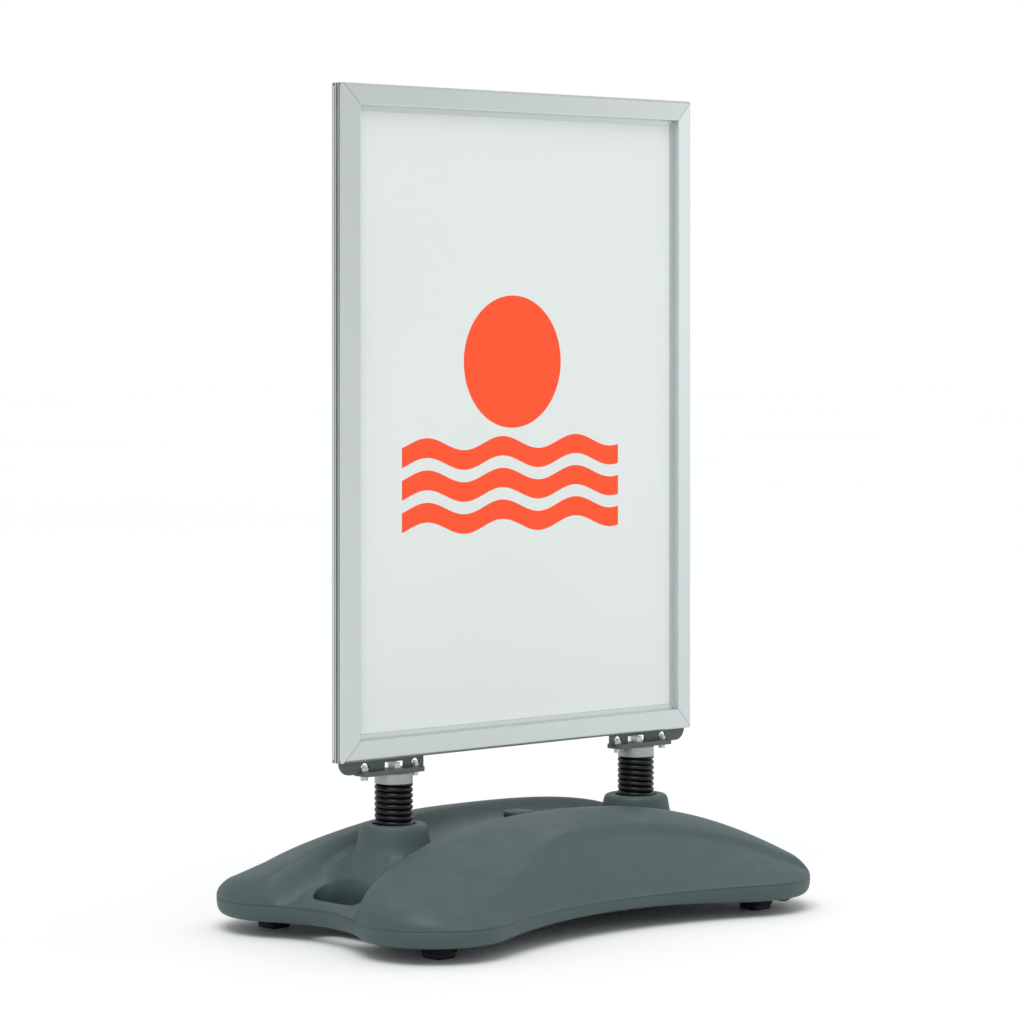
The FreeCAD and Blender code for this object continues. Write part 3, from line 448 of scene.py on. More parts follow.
def spring_neck(base, side):
    """Upright collar, rounded rim and the recess for the end of the spring."""
    shape = base.shape
    top, foot, recess, seat = shape.neck_top, shape.neck_wall_foot, 29.5, 141.0
    rings = [(foot + 7, shape.height), (foot + 4.5, shape.height), (foot + 2.6, shape.height),
             (foot + 1.2, shape.height), (foot + 0.3, lambda x, y: shape.height(x, y) + 1.2)]
    rings += [(48.3, 133.5), (47.3, 139.5), (46.2, 145.5), (45.3, 148.4), (44.1, 150.6), (42.4, 152.1),
              (40.4, top - 0.15), (38.0, top), (33.0, top), (31.0, top - 0.2), (29.9, top - 0.9),
              (recess, top - 2.2), (recess, top - 7), (29.3, 141.4), (28.6, seat), (12.0, seat)]
    base.pit(base.top, base.open_top, (side * shape.neck_x, 0), foot + 12, rings)


def anchor_pocket(base, side):
    """Round pocket in the underside for the bolt that holds the spring."""
    low, wide, deep = base.shape.ground_gap, 21.0, 22
    rings = [(22.6, low), (21.4, low + 0.5), (wide, low + 1.6), (wide, low + 20), (20.4, low + 21.6),
             (18.8, low + deep), (7.0, low + deep)]
    base.pit(base.bottom, base.open_bottom, (side * base.shape.neck_x, 0), 27, rings)


def cut_wheel_pockets(piece, shape):
    """Cuts a pocket for each wheel out of the finished underside."""
    half, low, top = shape.pocket_half, shape.ground_gap - 6, shape.pocket_top
    from_middle = shape.half_length - shape.wheel_from_end
    vertices, faces = [], []
    for side in (-1, 1):
        centre = (from_middle, side * (shape.half_depth - shape.wheel_from_side))
        start = len(vertices)
        for inset, level in ((0, low), (0, top - 1.5), (0.5, top - 0.4), (1.6, top)):
            vertices += [((centre[0] + sx * (half[0] - inset)) * MM,
                          (centre[1] + sy * (half[1] - inset)) * MM, level * MM)
                         for sx, sy in ((-1, -1), (1, -1), (1, 1), (-1, 1))]
        for level in range(3):
            lower = [start + 4 * level + k for k in range(4)]
            faces += ring_faces(lower, [k + 4 for k in lower])
        faces += [tuple(start + k for k in (3, 2, 1, 0)), tuple(start + 12 + k for k in range(4))]
    cutter = new_object("wheel_pocket_cutter", vertices, faces)
    modifier = piece.modifiers.new("pockets", "BOOLEAN")
    modifier.operation, modifier.solver, modifier.object = "DIFFERENCE", "EXACT", cutter
    mesh = plain_mesh(piece)
    piece.modifiers.clear()
    piece.data = mesh
    bpy.data.objects.remove(cutter)


def filler_neck(base):
    """Flat seat and bore for the filler cap."""
    level = base.shape.height
    seat = base.shape.trough
    rings = [(28.0, level), (25.6, lambda x, y: level(x, y) + 0.2), (24.8, seat + 0.4), (24.2, seat - 0.2),
             (23.4, seat - 0.3), (18.6, seat - 0.3), (17.8, seat - 0.6), (17.5, seat - 1.4),
             (17.5, seat - 24), (19.0, seat - 24.6), (21.0, seat - 30)]
    base.pit(base.top, base.open_top, (0, 0), 33, rings)


def hand_slot(base):
    """Grip slot through one end, its rims rolled over and a parting line inside."""
    shape = base.shape
    centre, run, wide = (shape.slot_from_end - shape.half_length, 0), shape.slot_run, shape.slot_half
    level, low, seam = shape.height, shape.ground_gap, shape.seam
    roll, margin = 2.6, 3.0
    rings = []
    for turn in (0.0, 0.2, 0.4, 0.6, 0.8, 1.0):
        angle = turn * math.pi / 2
        rings.append((wide + roll * (1 - math.sin(angle)),
                      lambda x, y, a=angle: level(x, y) - roll * (1 - math.cos(a))))
    rings += [(wide, seam + 1.0), (wide + 0.5, seam + 0.3), (wide + 0.5, seam - 0.3), (wide, seam - 1.0)]
    rings += [(wide, low + 4), (wide + 0.3, low + 1.8), (wide + 1.0, low + 0.5), (wide + 2.2, low)]
    inner, limits = base.opening(base.top, base.open_top, centre, run, wide + margin, rings)
    base.open_bottom[limits[0]:limits[1], limits[2]:limits[3]] = True
    base.faces += ring_faces(inner, base.loop(base.bottom, *limits))


def moulded_base(settings):
    base = BaseMesh(BaseShape(settings), settings.columns, settings.rows)
    for side in (-1, 1):
        spring_neck(base, side)
        anchor_pocket(base, side)
    filler_neck(base)
    hand_slot(base)
    base.side_wall()
    base.nets()
    piece = new_object("moulded_base", np.array(base.vertices) * MM, base.faces)
    cut_wheel_pockets(piece, base.shape)
    return piece


# ---------------------------------------------------------------- lathe and repeat helpers
def lathe(rings, around, outline=None):
    """Closed stack of rings about Z: (radius, height) in millimetres, closed at both ends.

    outline(angle, radius, height) may change the radius of a point.
    """
    vertices, faces, last = [], [], None
    for radius, level in rings:
        start = len(vertices)
        for k in range(around):
            angle = 2 * math.pi * k / around
            r = outline(angle, radius, level) if outline else radius
            vertices.append((r * math.cos(angle) * MM, r * math.sin(angle) * MM, level * MM))
        ring = list(range(start, start + around))
        if last:
            faces += ring_faces(last, ring)
        last = ring
    for ring, level in ((list(range(around)), rings[0][1]), (last, rings[-1][1])):
        middle = len(vertices)
        vertices.append((0, 0, level * MM))
        faces += [(ring[k], ring[(k + 1) % around], middle) for k in range(around)]
    return vertices, faces


def input_id(tree, name):
    return next(s.identifier for s in tree.interface.items_tree
                if s.item_type == "SOCKET" and s.in_out == "INPUT" and s.name == name)


def plain_mesh(piece):
    """The mesh of a piece with its modifiers applied."""
    bpy.context.view_layer.update()
    return bpy.data.meshes.new_from_object(piece.evaluated_get(bpy.context.evaluated_depsgraph_get()))


def grown(name, tree, values, body=None):
    """Runs a geometry tree and keeps its result as a plain mesh, on a body where one is given."""
    holder = link(bpy.data.objects.new(name + "_seed", bpy.data.meshes.new(name + "_seed")))
    modifier = holder.modifiers.new("grow", "NODES")
    modifier.node_group = tree
    for key, value in values.items():
        modifier[input_id(tree, key)] = value
    mesh = plain_mesh(holder)
    holder.modifiers.clear()
    bpy.data.objects.remove(holder)
    piece = link(bpy.data.objects.new(name, mesh))
    mesh.shade_smooth()
    if body:
        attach(piece, body)
    return piece


def put(tree, kind, *first, **named):
    """Adds a node and sets its inputs, by position or by name with underscores for spaces.

    A socket is linked to the input, and anything else becomes the input's own value.
    """
    node = tree.nodes.new(kind)
    pairs = list(zip(node.inputs, first))
    pairs += [(node.inputs[label.replace("_", " ")], value) for label, value in named.items()]
    for socket, value in pairs:
        if isinstance(value, bpy.types.NodeSocket):
            tree.links.new(value, socket)
        else:
            socket.default_value = value
    return node


def arithmetic(tree, operation, a, b=0.0):
    node = put(tree, "ShaderNodeMath", a, b)
    node.operation = operation
    return node.outputs[0]


def node_group(name, kind, given, put_out):
    """Empty node group with named sockets: (name, type, default) for inputs, (name, type) for outputs."""
    group = bpy.data.node_groups.new(name, kind)
    for label, socket_type, default in given:
        socket = group.interface.new_socket(label, in_out="INPUT", socket_type=socket_type)
        if default is not None:
            socket.default_value = default
    for label, socket_type in put_out:
        group.interface.new_socket(label, in_out="OUTPUT", socket_type=socket_type)
    inside, outside = group.nodes.new("NodeGroupInput"), group.nodes.new("NodeGroupOutput")
    return group, inside.outputs, outside.inputs


def new_tree(name, given):
    return node_group(name, "GeometryNodeTree", [("Geometry", GEOMETRY, None), *given],
                      [("Geometry", GEOMETRY)])


def painted(tree, geometry, coat, result):
    """Ends a tree: its instances made real and given their finish."""
    real = put(tree, "GeometryNodeRealizeInstances", Geometry=geometry)
    paint = put(tree, "GeometryNodeSetMaterial", Geometry=real.outputs[0], Material=coat)
    tree.links.new(paint.outputs[0], result["Geometry"])
    return tree


def coil_tree():
    """A closed coil: a spiral swept with round wire, its ends ground flat, set down at its place."""
    tree, given, result = new_tree("coil_spring", [
        ("Mean Radius", NUMBER, 0.0224), ("Wire", NUMBER, 0.0076), ("Turns", NUMBER, 7.0),
        ("Rise", NUMBER, 0.055), ("Steps", WHOLE, 56), ("Place", VECTOR, (0, 0, 0)),
        ("Ground Low", NUMBER, 0.0), ("Ground High", NUMBER, 1.0), ("Finish", MATERIAL, None)])
    spiral = put(tree, "GeometryNodeCurveSpiral", Resolution=given["Steps"], Rotations=given["Turns"],
                 Start_Radius=given["Mean Radius"], End_Radius=given["Mean Radius"], Height=given["Rise"])
    section = put(tree, "GeometryNodeCurvePrimitiveCircle", Resolution=18,
                  Radius=arithmetic(tree, "MULTIPLY", given["Wire"], 0.5))
    sweep = put(tree, "GeometryNodeCurveToMesh", Curve=spiral.outputs["Curve"],
                Profile_Curve=section.outputs["Curve"], Fill_Caps=True)
    spot = put(tree, "ShaderNodeSeparateXYZ", put(tree, "GeometryNodeInputPosition").outputs[0]).outputs
    level = arithmetic(tree, "MAXIMUM", spot[2], given["Ground Low"])
    level = arithmetic(tree, "MINIMUM", level, given["Ground High"])
    flat = put(tree, "ShaderNodeCombineXYZ", spot[0], spot[1], level)
    grind = put(tree, "GeometryNodeSetPosition", Geometry=sweep.outputs["Mesh"], Position=flat.outputs[0])
    place = put(tree, "GeometryNodeTransform", Geometry=grind.outputs[0], Translation=given["Place"])
    return painted(tree, place.outputs[0], given["Finish"], result)


def rubber_foot_mesh():
    """One tapered block with rounded corners, a groove near the floor and a screw hole, in metres."""
    corner_steps, hole, head = 6, 6.0, 8.0
    rings = [(14.6, 0.0, 4.0), (15.6, 0.3, 4.4), (16.1, 1.1, 4.6), (17.0, 4.6, 4.6), (16.9, 4.9, 4.6),
             (16.3, 5.1, 4.2), (16.3, 6.1, 4.2), (17.2, 6.3, 4.6), (17.5, 6.7, 4.6), (20.6, 20.6, 4.6),
             (20.9, 21.4, 4.6), (20.9, 25.8, 4.6)]
    vertices, faces = [], []

    def rounded_square(half, radius):
        points = []
        for quarter in range(4):
            for k in range(corner_steps + 1):
                angle = math.pi / 2 * (quarter + k / corner_steps)
                sx, sy = ((1, 1), (-1, 1), (-1, -1), (1, -1))[quarter]
                points.append((sx * (half - radius) + radius * math.cos(angle),
                               sy * (half - radius) + radius * math.sin(angle)))
        return points

    def add(points, level):
        start = len(vertices)
        vertices.extend((x * MM, y * MM, level * MM) for x, y in points)
        return list(range(start, len(vertices)))

    around = rounded_square(14.6, 4.0)

    def circle(radius):
        return [(radius * x / math.hypot(x, y), radius * y / math.hypot(x, y)) for x, y in around]

    stack = [add(circle(2.0), head), add(circle(hole - 0.4), head), add(circle(hole), head - 0.4),
             add(circle(hole), 0.6), add(circle(hole + 0.6), 0.0)]
    stack += [add(rounded_square(half, radius), level) for half, level, radius in rings]
    for lower, upper in zip(stack, stack[1:]):
        faces += ring_faces(lower, upper)
    for ring, level in ((stack[0], head), (stack[-1], rings[-1][1])):
        middle = add([(0, 0)], level)[0]
        faces += [(ring[k], ring[(k + 1) % len(ring)], middle) for k in range(len(ring))]
    return new_object("rubber_foot_pattern", vertices, faces)


def feet_tree(pattern):
    """Sets a foot under each corner of the base."""
    tree, given, result = new_tree("rubber_feet", [
        ("Reach", VECTOR, (0.3, 0.17, 0)), ("Finish", MATERIAL, None)])
    reach = put(tree, "ShaderNodeSeparateXYZ", given["Reach"]).outputs
    grid = put(tree, "GeometryNodeMeshGrid", Vertices_X=2, Vertices_Y=2,
               Size_X=arithmetic(tree, "MULTIPLY", reach[0], 2.0),
               Size_Y=arithmetic(tree, "MULTIPLY", reach[1], 2.0))
    source = put(tree, "GeometryNodeObjectInfo", Object=pattern)
    spread = put(tree, "GeometryNodeInstanceOnPoints", Points=grid.outputs["Mesh"],
                 Instance=source.outputs["Geometry"])
    return painted(tree, spread.outputs[0], given["Finish"], result)


# ---------------------------------------------------------------- shared shader groups
def noise(tree, vector, scale, detail=2.0, rough=0.5):
    return put(tree, "ShaderNodeTexNoise", Vector=vector, Scale=scale, Detail=detail,
               Roughness=rough).outputs["Fac"]


def remap(tree, value, low, high, to_low=0.0, to_high=1.0):
    return put(tree, "ShaderNodeMapRange", Value=value, From_Min=low, From_Max=high, To_Min=to_low,
               To_Max=to_high).outputs[0]


def blend_of(tree, first, second, share):
    """The first value by a share, and the second by the rest."""
    return arithmetic(tree, "ADD", arithmetic(tree, "MULTIPLY", first, share),
                      arithmetic(tree, "MULTIPLY", second, 1 - share))


def shader_group(name, given, put_out):
    return node_group(name, "ShaderNodeTree", [("Vector", VECTOR, None), *given],
                      [(label, NUMBER) for label in put_out])


def moulded_grain_group():
    """Fine spark-eroded grain with slow changes of tone, as on moulded plastic and rubber."""
    group, given, result = shader_group(
        "moulded_grain", [("Grain Scale", NUMBER, 900.0), ("Patch Scale", NUMBER, 9.0)],
        ["Height", "Tone", "Gloss"])
    fine = noise(group, given["Vector"], given["Grain Scale"], 3.0, 0.6)
    patch = noise(group, given["Vector"], given["Patch Scale"], 4.0, 0.55)
    group.links.new(fine, result["Height"])
    group.links.new(remap(group, patch, 0.3, 0.7), result["Tone"])
    group.links.new(blend_of(group, fine, patch, 0.35), result["Gloss"])
    return group


def drawn_lines_group():
    """Fine lines along an extruded or rolled metal part."""
    group, given, result = shader_group(
        "drawn_lines", [("Stretch", VECTOR, (3.0, 900.0, 900.0))], ["Height", "Tone"])
    stretched = put(group, "ShaderNodeVectorMath", given["Vector"], given["Stretch"])
    stretched.operation = "MULTIPLY"
    lines = noise(group, stretched.outputs[0], 1.0, 3.0, 0.65)
    cloud = noise(group, given["Vector"], 5.0, 3.0, 0.5)
    group.links.new(lines, result["Height"])
    group.links.new(blend_of(group, lines, cloud, 0.6), result["Tone"])
    return group


def dust_group():
    """Faint dust on what faces up, in patches."""
    group, given, result = shader_group("settled_dust", [("Amount", NUMBER, 0.3)], ["Mask"])
    facing = put(group, "ShaderNodeNewGeometry").outputs["Normal"]
    up = remap(group, put(group, "ShaderNodeSeparateXYZ", facing).outputs[2], 0.5, 1.0)
    patch = noise(group, given["Vector"], 30.0, 5.0, 0.6)
    spread = arithmetic(group, "MULTIPLY", up, remap(group, patch, 0.35, 0.7, 0.2, 1.0))
    group.links.new(arithmetic(group, "MULTIPLY", spread, given["Amount"]), result["Mask"])
    return group


def edge_wear_group():
    """Lighter metal along edges and corners."""
    group, given, result = shader_group("edge_wear", [("Amount", NUMBER, 0.5)], ["Mask"])
    edge = remap(group, put(group, "ShaderNodeNewGeometry").outputs["Pointiness"], 0.505, 0.56)
    broken = noise(group, given["Vector"], 120.0, 4.0, 0.6)
    worn = arithmetic(group, "MULTIPLY", edge, remap(group, broken, 0.35, 0.65))
    group.links.new(arithmetic(group, "MULTIPLY", worn, given["Amount"]), result["Mask"])
    return group


def shared(name, maker):
    return bpy.data.node_groups.get(name) or maker()


# ---------------------------------------------------------------- finishes
class Finish:
    """A material under construction: its shader, Object coordinates and small helpers."""

    def __init__(self, name, roughness, metallic=0.0, specular=0.5):
        self.material = bpy.data.materials.new(name)
        self.material.use_nodes = True
        self.tree = self.material.node_tree
        self.sockets = self.tree.nodes["Principled BSDF"].inputs
        self.sockets["Roughness"].default_value = roughness
        self.sockets["Metallic"].default_value = metallic
        self.sockets["Specular IOR Level"].default_value = specular
        self.coordinates = put(self.tree, "ShaderNodeTexCoord").outputs["Object"]

    def group(self, name, maker, **values):
        node = self.tree.nodes.new("ShaderNodeGroup")
        node.node_tree = shared(name, maker)
        self.tree.links.new(self.coordinates, node.inputs["Vector"])
        for key, value in values.items():
            node.inputs[key.replace("_", " ")].default_value = value
        return node.outputs

    def mix(self, factor, first, second):
        node = put(self.tree, "ShaderNodeMix", Factor=factor)
        node.data_type = "RGBA"
        for socket, value in ((node.inputs[6], first), (node.inputs[7], second)):
            if isinstance(value, tuple):
                socket.default_value = (*value, 1)
            else:
                self.tree.links.new(value, socket)
        return node.outputs[2]

    def colour(self, socket):
        self.tree.links.new(socket, self.sockets["Base Color"])

    def roughness(self, value, low, high):
        self.tree.links.new(remap(self.tree, value, 0.0, 1.0, low, high), self.sockets["Roughness"])

    def bump(self, height, distance):
        node = put(self.tree, "ShaderNodeBump", Height=height, Distance=distance, Strength=1.0)
        self.tree.links.new(node.outputs["Normal"], self.sockets["Normal"])


def shade(colour, factor):
    return tuple(min(c * factor, 1.0) for c in colour)


def grained(name, colour, low, high, grain=900.0, depth=0.00004, dust=0.0, spread=0.08, specular=0.4):
    """Moulded plastic or rubber."""
    made = Finish(name, (low + high) / 2, specular=specular)
    moulded = made.group("moulded_grain", moulded_grain_group, Grain_Scale=grain)
    tone = made.mix(moulded["Tone"], shade(colour, 1 - spread), shade(colour, 1 + spread))
    if dust:
        dusty = made.group("settled_dust", dust_group, Amount=dust)
        tone = made.mix(dusty["Mask"], tone, (0.32, 0.34, 0.33))
    made.colour(tone)
    made.roughness(moulded["Gloss"], low, high)
    made.bump(moulded["Height"], depth)
    return made.material


def drawn_metal(name, colour, low, high, stretch, depth=0.00001, metallic=1.0, spread=0.05):
    """Rolled, drawn or extruded metal with its grain along one direction."""
    made = Finish(name, (low + high) / 2, metallic=metallic)
    lines = made.group("drawn_lines", drawn_lines_group, Stretch=stretch)
    made.colour(made.mix(lines["Tone"], shade(colour, 1 - spread), shade(colour, 1 + spread)))
    made.roughness(lines["Tone"], low, high)
    made.bump(lines["Height"], depth)
    return made.material


def coated_metal(name, colour, low, high, worn, amount, grain=1400.0, specular=0.5):
    """Painted or plated metal that shows the bare metal at its edges."""
    made = Finish(name, (low + high) / 2, specular=specular)
    moulded = made.group("moulded_grain", moulded_grain_group, Grain_Scale=grain, Patch_Scale=25.0)
    wear = made.group("edge_wear", edge_wear_group, Amount=amount)
    tone = made.mix(moulded["Tone"], shade(colour, 0.93), shade(colour, 1.07))
    made.colour(made.mix(wear["Mask"], tone, worn))
    made.roughness(moulded["Gloss"], low, high)
    made.bump(moulded["Height"], 0.000015)
    return made.material


ALONG_X, ALONG_Z = (4.0, 1100.0, 1100.0), (1100.0, 1100.0, 4.0)


def poster_print(ink, paper, front):
    """Paper with a plain printed pattern: a disc over three waves."""
    made = Finish("poster_" + ("front" if front else "rear"), 0.5, specular=0.1)
    tree = made.tree
    x, _, z = put(tree, "ShaderNodeSeparateXYZ", made.coordinates).outputs
    if not front:
        x = arithmetic(tree, "MULTIPLY", x, -1.0)

    def less(value, limit):
        return arithmetic(tree, "LESS_THAN", value, limit)

    def both(a, b):
        return arithmetic(tree, "MULTIPLY", a, b)

    def span(value, low, high):
        return both(arithmetic(tree, "GREATER_THAN", value, low), less(value, high))

    def disc(cx, cz, radius):
        dx = arithmetic(tree, "SUBTRACT", x, cx)
        dz = arithmetic(tree, "SUBTRACT", z, cz)
        square = arithmetic(tree, "ADD", both(dx, dx), both(dz, dz))
        return less(square, radius * radius)

    middle, sun_height, sun_radius = -0.015, 0.775, 0.092
    marks = disc(middle, sun_height, sun_radius)
    wave_length, wave_swing, wave_reach = 0.14, 0.009, 0.205
    lowest, pitch, stroke = 0.548, 0.044, 0.027
    swing = arithmetic(tree, "SINE", arithmetic(tree, "MULTIPLY", x, 2 * math.pi / wave_length))
    wave = arithmetic(tree, "ADD", z, arithmetic(tree, "MULTIPLY", swing, wave_swing))
    inside = span(x, middle - wave_reach, middle + wave_reach)
    for row in range(3):
        low = lowest + row * pitch
        marks = arithmetic(tree, "MAXIMUM", marks, both(inside, span(wave, low, low + stroke)))
    cloud = noise(tree, made.coordinates, 3.0, 2.0, 0.5)
    sheet_tone = made.mix(cloud, shade(paper, 0.975), shade(paper, 1.02))
    made.colour(made.mix(marks, sheet_tone, tuple(ink)))
    fibre = noise(tree, made.coordinates, 700.0, 4.0, 0.6)
    made.roughness(fibre, 0.42, 0.6)
    made.bump(fibre, 0.00001)
    return made.material


def anti_glare_sheet():
    """Clear cover with a finely matted face."""
    made = Finish("clear_sheet", 0.3, specular=0.5)
    made.sockets["Base Color"].default_value = (0.86, 0.9, 0.885, 1)
    made.sockets["Alpha"].default_value = 0.02
    matt = made.group("moulded_grain", moulded_grain_group, Grain_Scale=60.0, Patch_Scale=4.0)
    made.roughness(matt["Gloss"], 0.26, 0.34)
    return made.material


def paint_nodes(names, material):
    """Gives CAD nodes a finish."""
    for name in names:
        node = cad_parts[name]
        if not node.data.materials:
            node.data.materials.append(material)
        for slot in node.material_slots:
            slot.link = "OBJECT"
            slot.material = material


# ---------------------------------------------------------------- operators
class SIGN_OT_base(bpy.types.Operator):
    """Builds the moulded base"""
    bl_idname = "sign.base"
    bl_label = "Moulded Base"

    def execute(self, context):
        scene = context.scene
        piece = moulded_base(scene.sign_base)
        colour = tuple(scene.sign_finish.base)
        finish(piece, grained("moulded_base", colour, 0.46, 0.60, 700.0, 0.00006, dust=0.10, spread=0.05))
        sharpen(piece, 60)
        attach(piece, "base")
        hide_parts("base_tank")
        return {"FINISHED"}


class SIGN_OT_cap(bpy.types.Operator):
    """Builds the filler cap with its scalloped grip and threaded plug"""
    bl_idname = "sign.cap"
    bl_label = "Filler Cap"

    def execute(self, context):
        low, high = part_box("filler_cap")
        bottom, top = low.z / MM, high.z / MM
        rim, plug, pitch, scallops = high.x / MM, 17.1, 4.0, 12
        seat = top - 7.0

        def outline(angle, radius, level):
            if level > seat - 0.01 and radius > 18.0:
                return radius - 1.5 * max(math.cos(scallops * angle), 0.0) ** 1.5 * min((radius - 17) / 3, 1)
            if level < seat - 1.5 and radius > 15.5:
                phase = ((seat - level) / pitch + angle / (2 * math.pi)) % 1.0
                return radius - 0.5 + 0.45 * math.cos(2 * math.pi * phase)
            return radius

        thread = [(plug, level) for level in np.arange(bottom + 1.0, seat - 1.6, 0.5)]
        rings = [(13.4, bottom + 11.0), (13.6, bottom + 10.5), (13.6, bottom + 0.4), (14.0, bottom),
                 (15.4, bottom), (16.2, bottom + 0.5)] + thread
        rings += [(15.4, seat - 1.2), (15.4, seat - 0.02), (18.6, seat), (rim - 1.0, seat),
                  (rim - 0.2, seat + 0.4), (rim, seat + 1.2), (rim, seat + 4.2), (rim - 0.3, seat + 5.0),
                  (rim - 1.0, seat + 5.6), (rim - 2.2, seat + 6.0), (17.0, seat + 6.2), (15.0, seat + 6.0),
                  (14.4, seat + 5.6), (13.6, seat + 5.5), (12.9, seat + 5.8), (12.0, seat + 6.4),
                  (8.0, seat + 6.8), (4.0, seat + 6.95), (1.5, top)]
        piece = new_object("filler_cap_scalloped", *lathe(rings, 144, outline))
        colour = shade(tuple(context.scene.sign_finish.base), 0.78)
        finish(piece, grained("cap_plastic", colour, 0.42, 0.55, 1000.0, 0.00003, dust=0.08))
        sharpen(piece, 55)
        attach(piece, "cap_turn")
        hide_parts("filler_cap")
        paint_nodes(["filler_cap_seal"], grained("seal_rubber", (0.012, 0.013, 0.013), 0.55, 0.75))
        return {"FINISHED"}


class SIGN_OT_feet(bpy.types.Operator):
    """Sets the rubber feet and finishes the wheels"""
    bl_idname = "sign.feet"
    bl_label = "Feet and Wheels"

    def execute(self, context):
        low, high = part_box("foot_right_rear")
        middle = (low + high) / 2
        rubber = grained("foot_rubber", (0.011, 0.012, 0.013), 0.42, 0.62, 800.0, 0.00005, spread=0.15)
        pattern = rubber_foot_mesh()
        tree = feet_tree(pattern)
        feet = grown("rubber_feet", tree, {"Reach": (middle.x, middle.y, 0), "Finish": rubber}, "base")
        bpy.data.objects.remove(pattern)
        sharpen(feet, 50)
        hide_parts(*[f"foot_{end}_{side}" for end in ("left", "right") for side in FRAMES])
        wheel = grained("wheel_plastic", (0.07, 0.085, 0.085), 0.4, 0.55, 900.0)
        paint_nodes(["wheel_front", "wheel_rear"], wheel)
        return {"FINISHED"}


class SIGN_OT_springs(bpy.types.Operator):
    """Winds the two coil springs"""
    bl_idname = "sign.springs"
    bl_label = "Coil Springs"

    def execute(self, context):
        settings = context.scene.sign_springs
        black = tuple(context.scene.sign_finish.spring)
        coat = coated_metal("spring_steel", black, 0.22, 0.36, (0.03, 0.033, 0.036), 0.3, specular=0.3)
        tree = coil_tree()
        radius = (coil_high.y - coil_low.y - settings.wire) / 2
        length = coil_high.z - coil_low.z
        spare = 0.75 * settings.pitch
        start = settings.wire / 2 - spare
        rise = length - 2 * start
        for side, middle in zip(ENDS, neck_middle):
            coil = grown(f"coil_{side}", tree, {
                "Mean Radius": radius, "Wire": settings.wire, "Turns": rise / settings.pitch, "Rise": rise,
                "Steps": settings.around, "Place": (middle.x, 0, coil_low.z + start),
                "Ground Low": -start, "Ground High": length - start, "Finish": coat})
            merge(coil)
            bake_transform(coil)
            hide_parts(f"spring_{side}")
        return {"FINISHED"}


def merge(piece):
    work = bmesh.new()
    work.from_mesh(piece.data)
    bmesh.ops.remove_doubles(work, verts=work.verts, dist=1e-6)
    bmesh.ops.recalc_face_normals(work, faces=work.faces)
    work.to_mesh(piece.data)
    work.free()


class SIGN_OT_fittings(bpy.types.Operator):
    """Finishes the spring fittings, plates, brackets and fasteners"""
    bl_idname = "sign.fittings"
    bl_label = "Fittings and Fasteners"

    def execute(self, context):
        cast = drawn_metal("cast_fitting", (0.36, 0.385, 0.385), 0.35, 0.5, (300.0, 300.0, 300.0),
                           0.00002, metallic=0.6)
        paint_nodes([f"spring_{part}_fitting_{side}" for part in ("lower", "upper")
                     for side in ENDS], cast)
        bracket = coated_metal("bracket_steel", (0.075, 0.098, 0.1), 0.36, 0.5, (0.25, 0.27, 0.27), 0.0)
        paint_nodes([f"{part}_{side}" for part in ("lower_bracket", "spring_plate")
                     for side in ENDS], bracket)
        plate = drawn_metal("plate_steel", (0.42, 0.45, 0.45), 0.3, 0.45, ALONG_X)
        paint_nodes([f"joining_plate_{side}" for side in ENDS], plate)
        zinc = drawn_metal("zinc_steel", (0.46, 0.475, 0.47), 0.16, 0.3, (500.0, 500.0, 500.0), 0.000008,
                           spread=0.1)
        paint_nodes(["anchor_bolts", "anchor_washers", "plate_bolts", "plate_nuts", "centre_studs",
                     "centre_nuts", "foot_screws", "wheel_axle_front", "wheel_axle_rear",
                     "front_clamp_screws", "rear_clamp_screws"], zinc)
        return {"FINISHED"}


class SIGN_OT_frames(bpy.types.Operator):
    """Finishes the snap frames' rails, flaps, keys and leaf springs"""
    bl_idname = "sign.frames"
    bl_label = "Snap Frames"

    def execute(self, context):
        colour = tuple(context.scene.sign_finish.aluminium)
        for label, stretch, sides in (("level", ALONG_X, ("bottom", "top")),
                                      ("upright", ALONG_Z, ("right", "left"))):
            flap = drawn_metal(f"flap_aluminium_{label}", colour, 0.30, 0.40, stretch, 0.000006,
                               metallic=0.75, spread=0.03)
            # The rails use the flaps' aluminium at 0.8 of its brightness: painted shade for the darker narrow
            # sides of the frames and the strip behind the flaps.
            rail = drawn_metal(f"shaded_rail_aluminium_{label}", shade(colour, 0.8), 0.34, 0.46, stretch,
                               metallic=0.8)
            paint_nodes([f"{f}_flap_{s}" for f in FRAMES for s in sides], flap)
            paint_nodes([f"{f}_rail_{s}" for f in FRAMES for s in sides], rail)
        key = drawn_metal("key_steel", (0.5, 0.5, 0.49), 0.3, 0.42, ALONG_X)
        leaf = drawn_metal("leaf_steel", (0.42, 0.44, 0.46), 0.2, 0.3, ALONG_X)
        paint_nodes([f"{f}_corner_keys" for f in FRAMES], key)
        paint_nodes([f"{f}_flap_springs" for f in FRAMES], leaf)
        return {"FINISHED"}


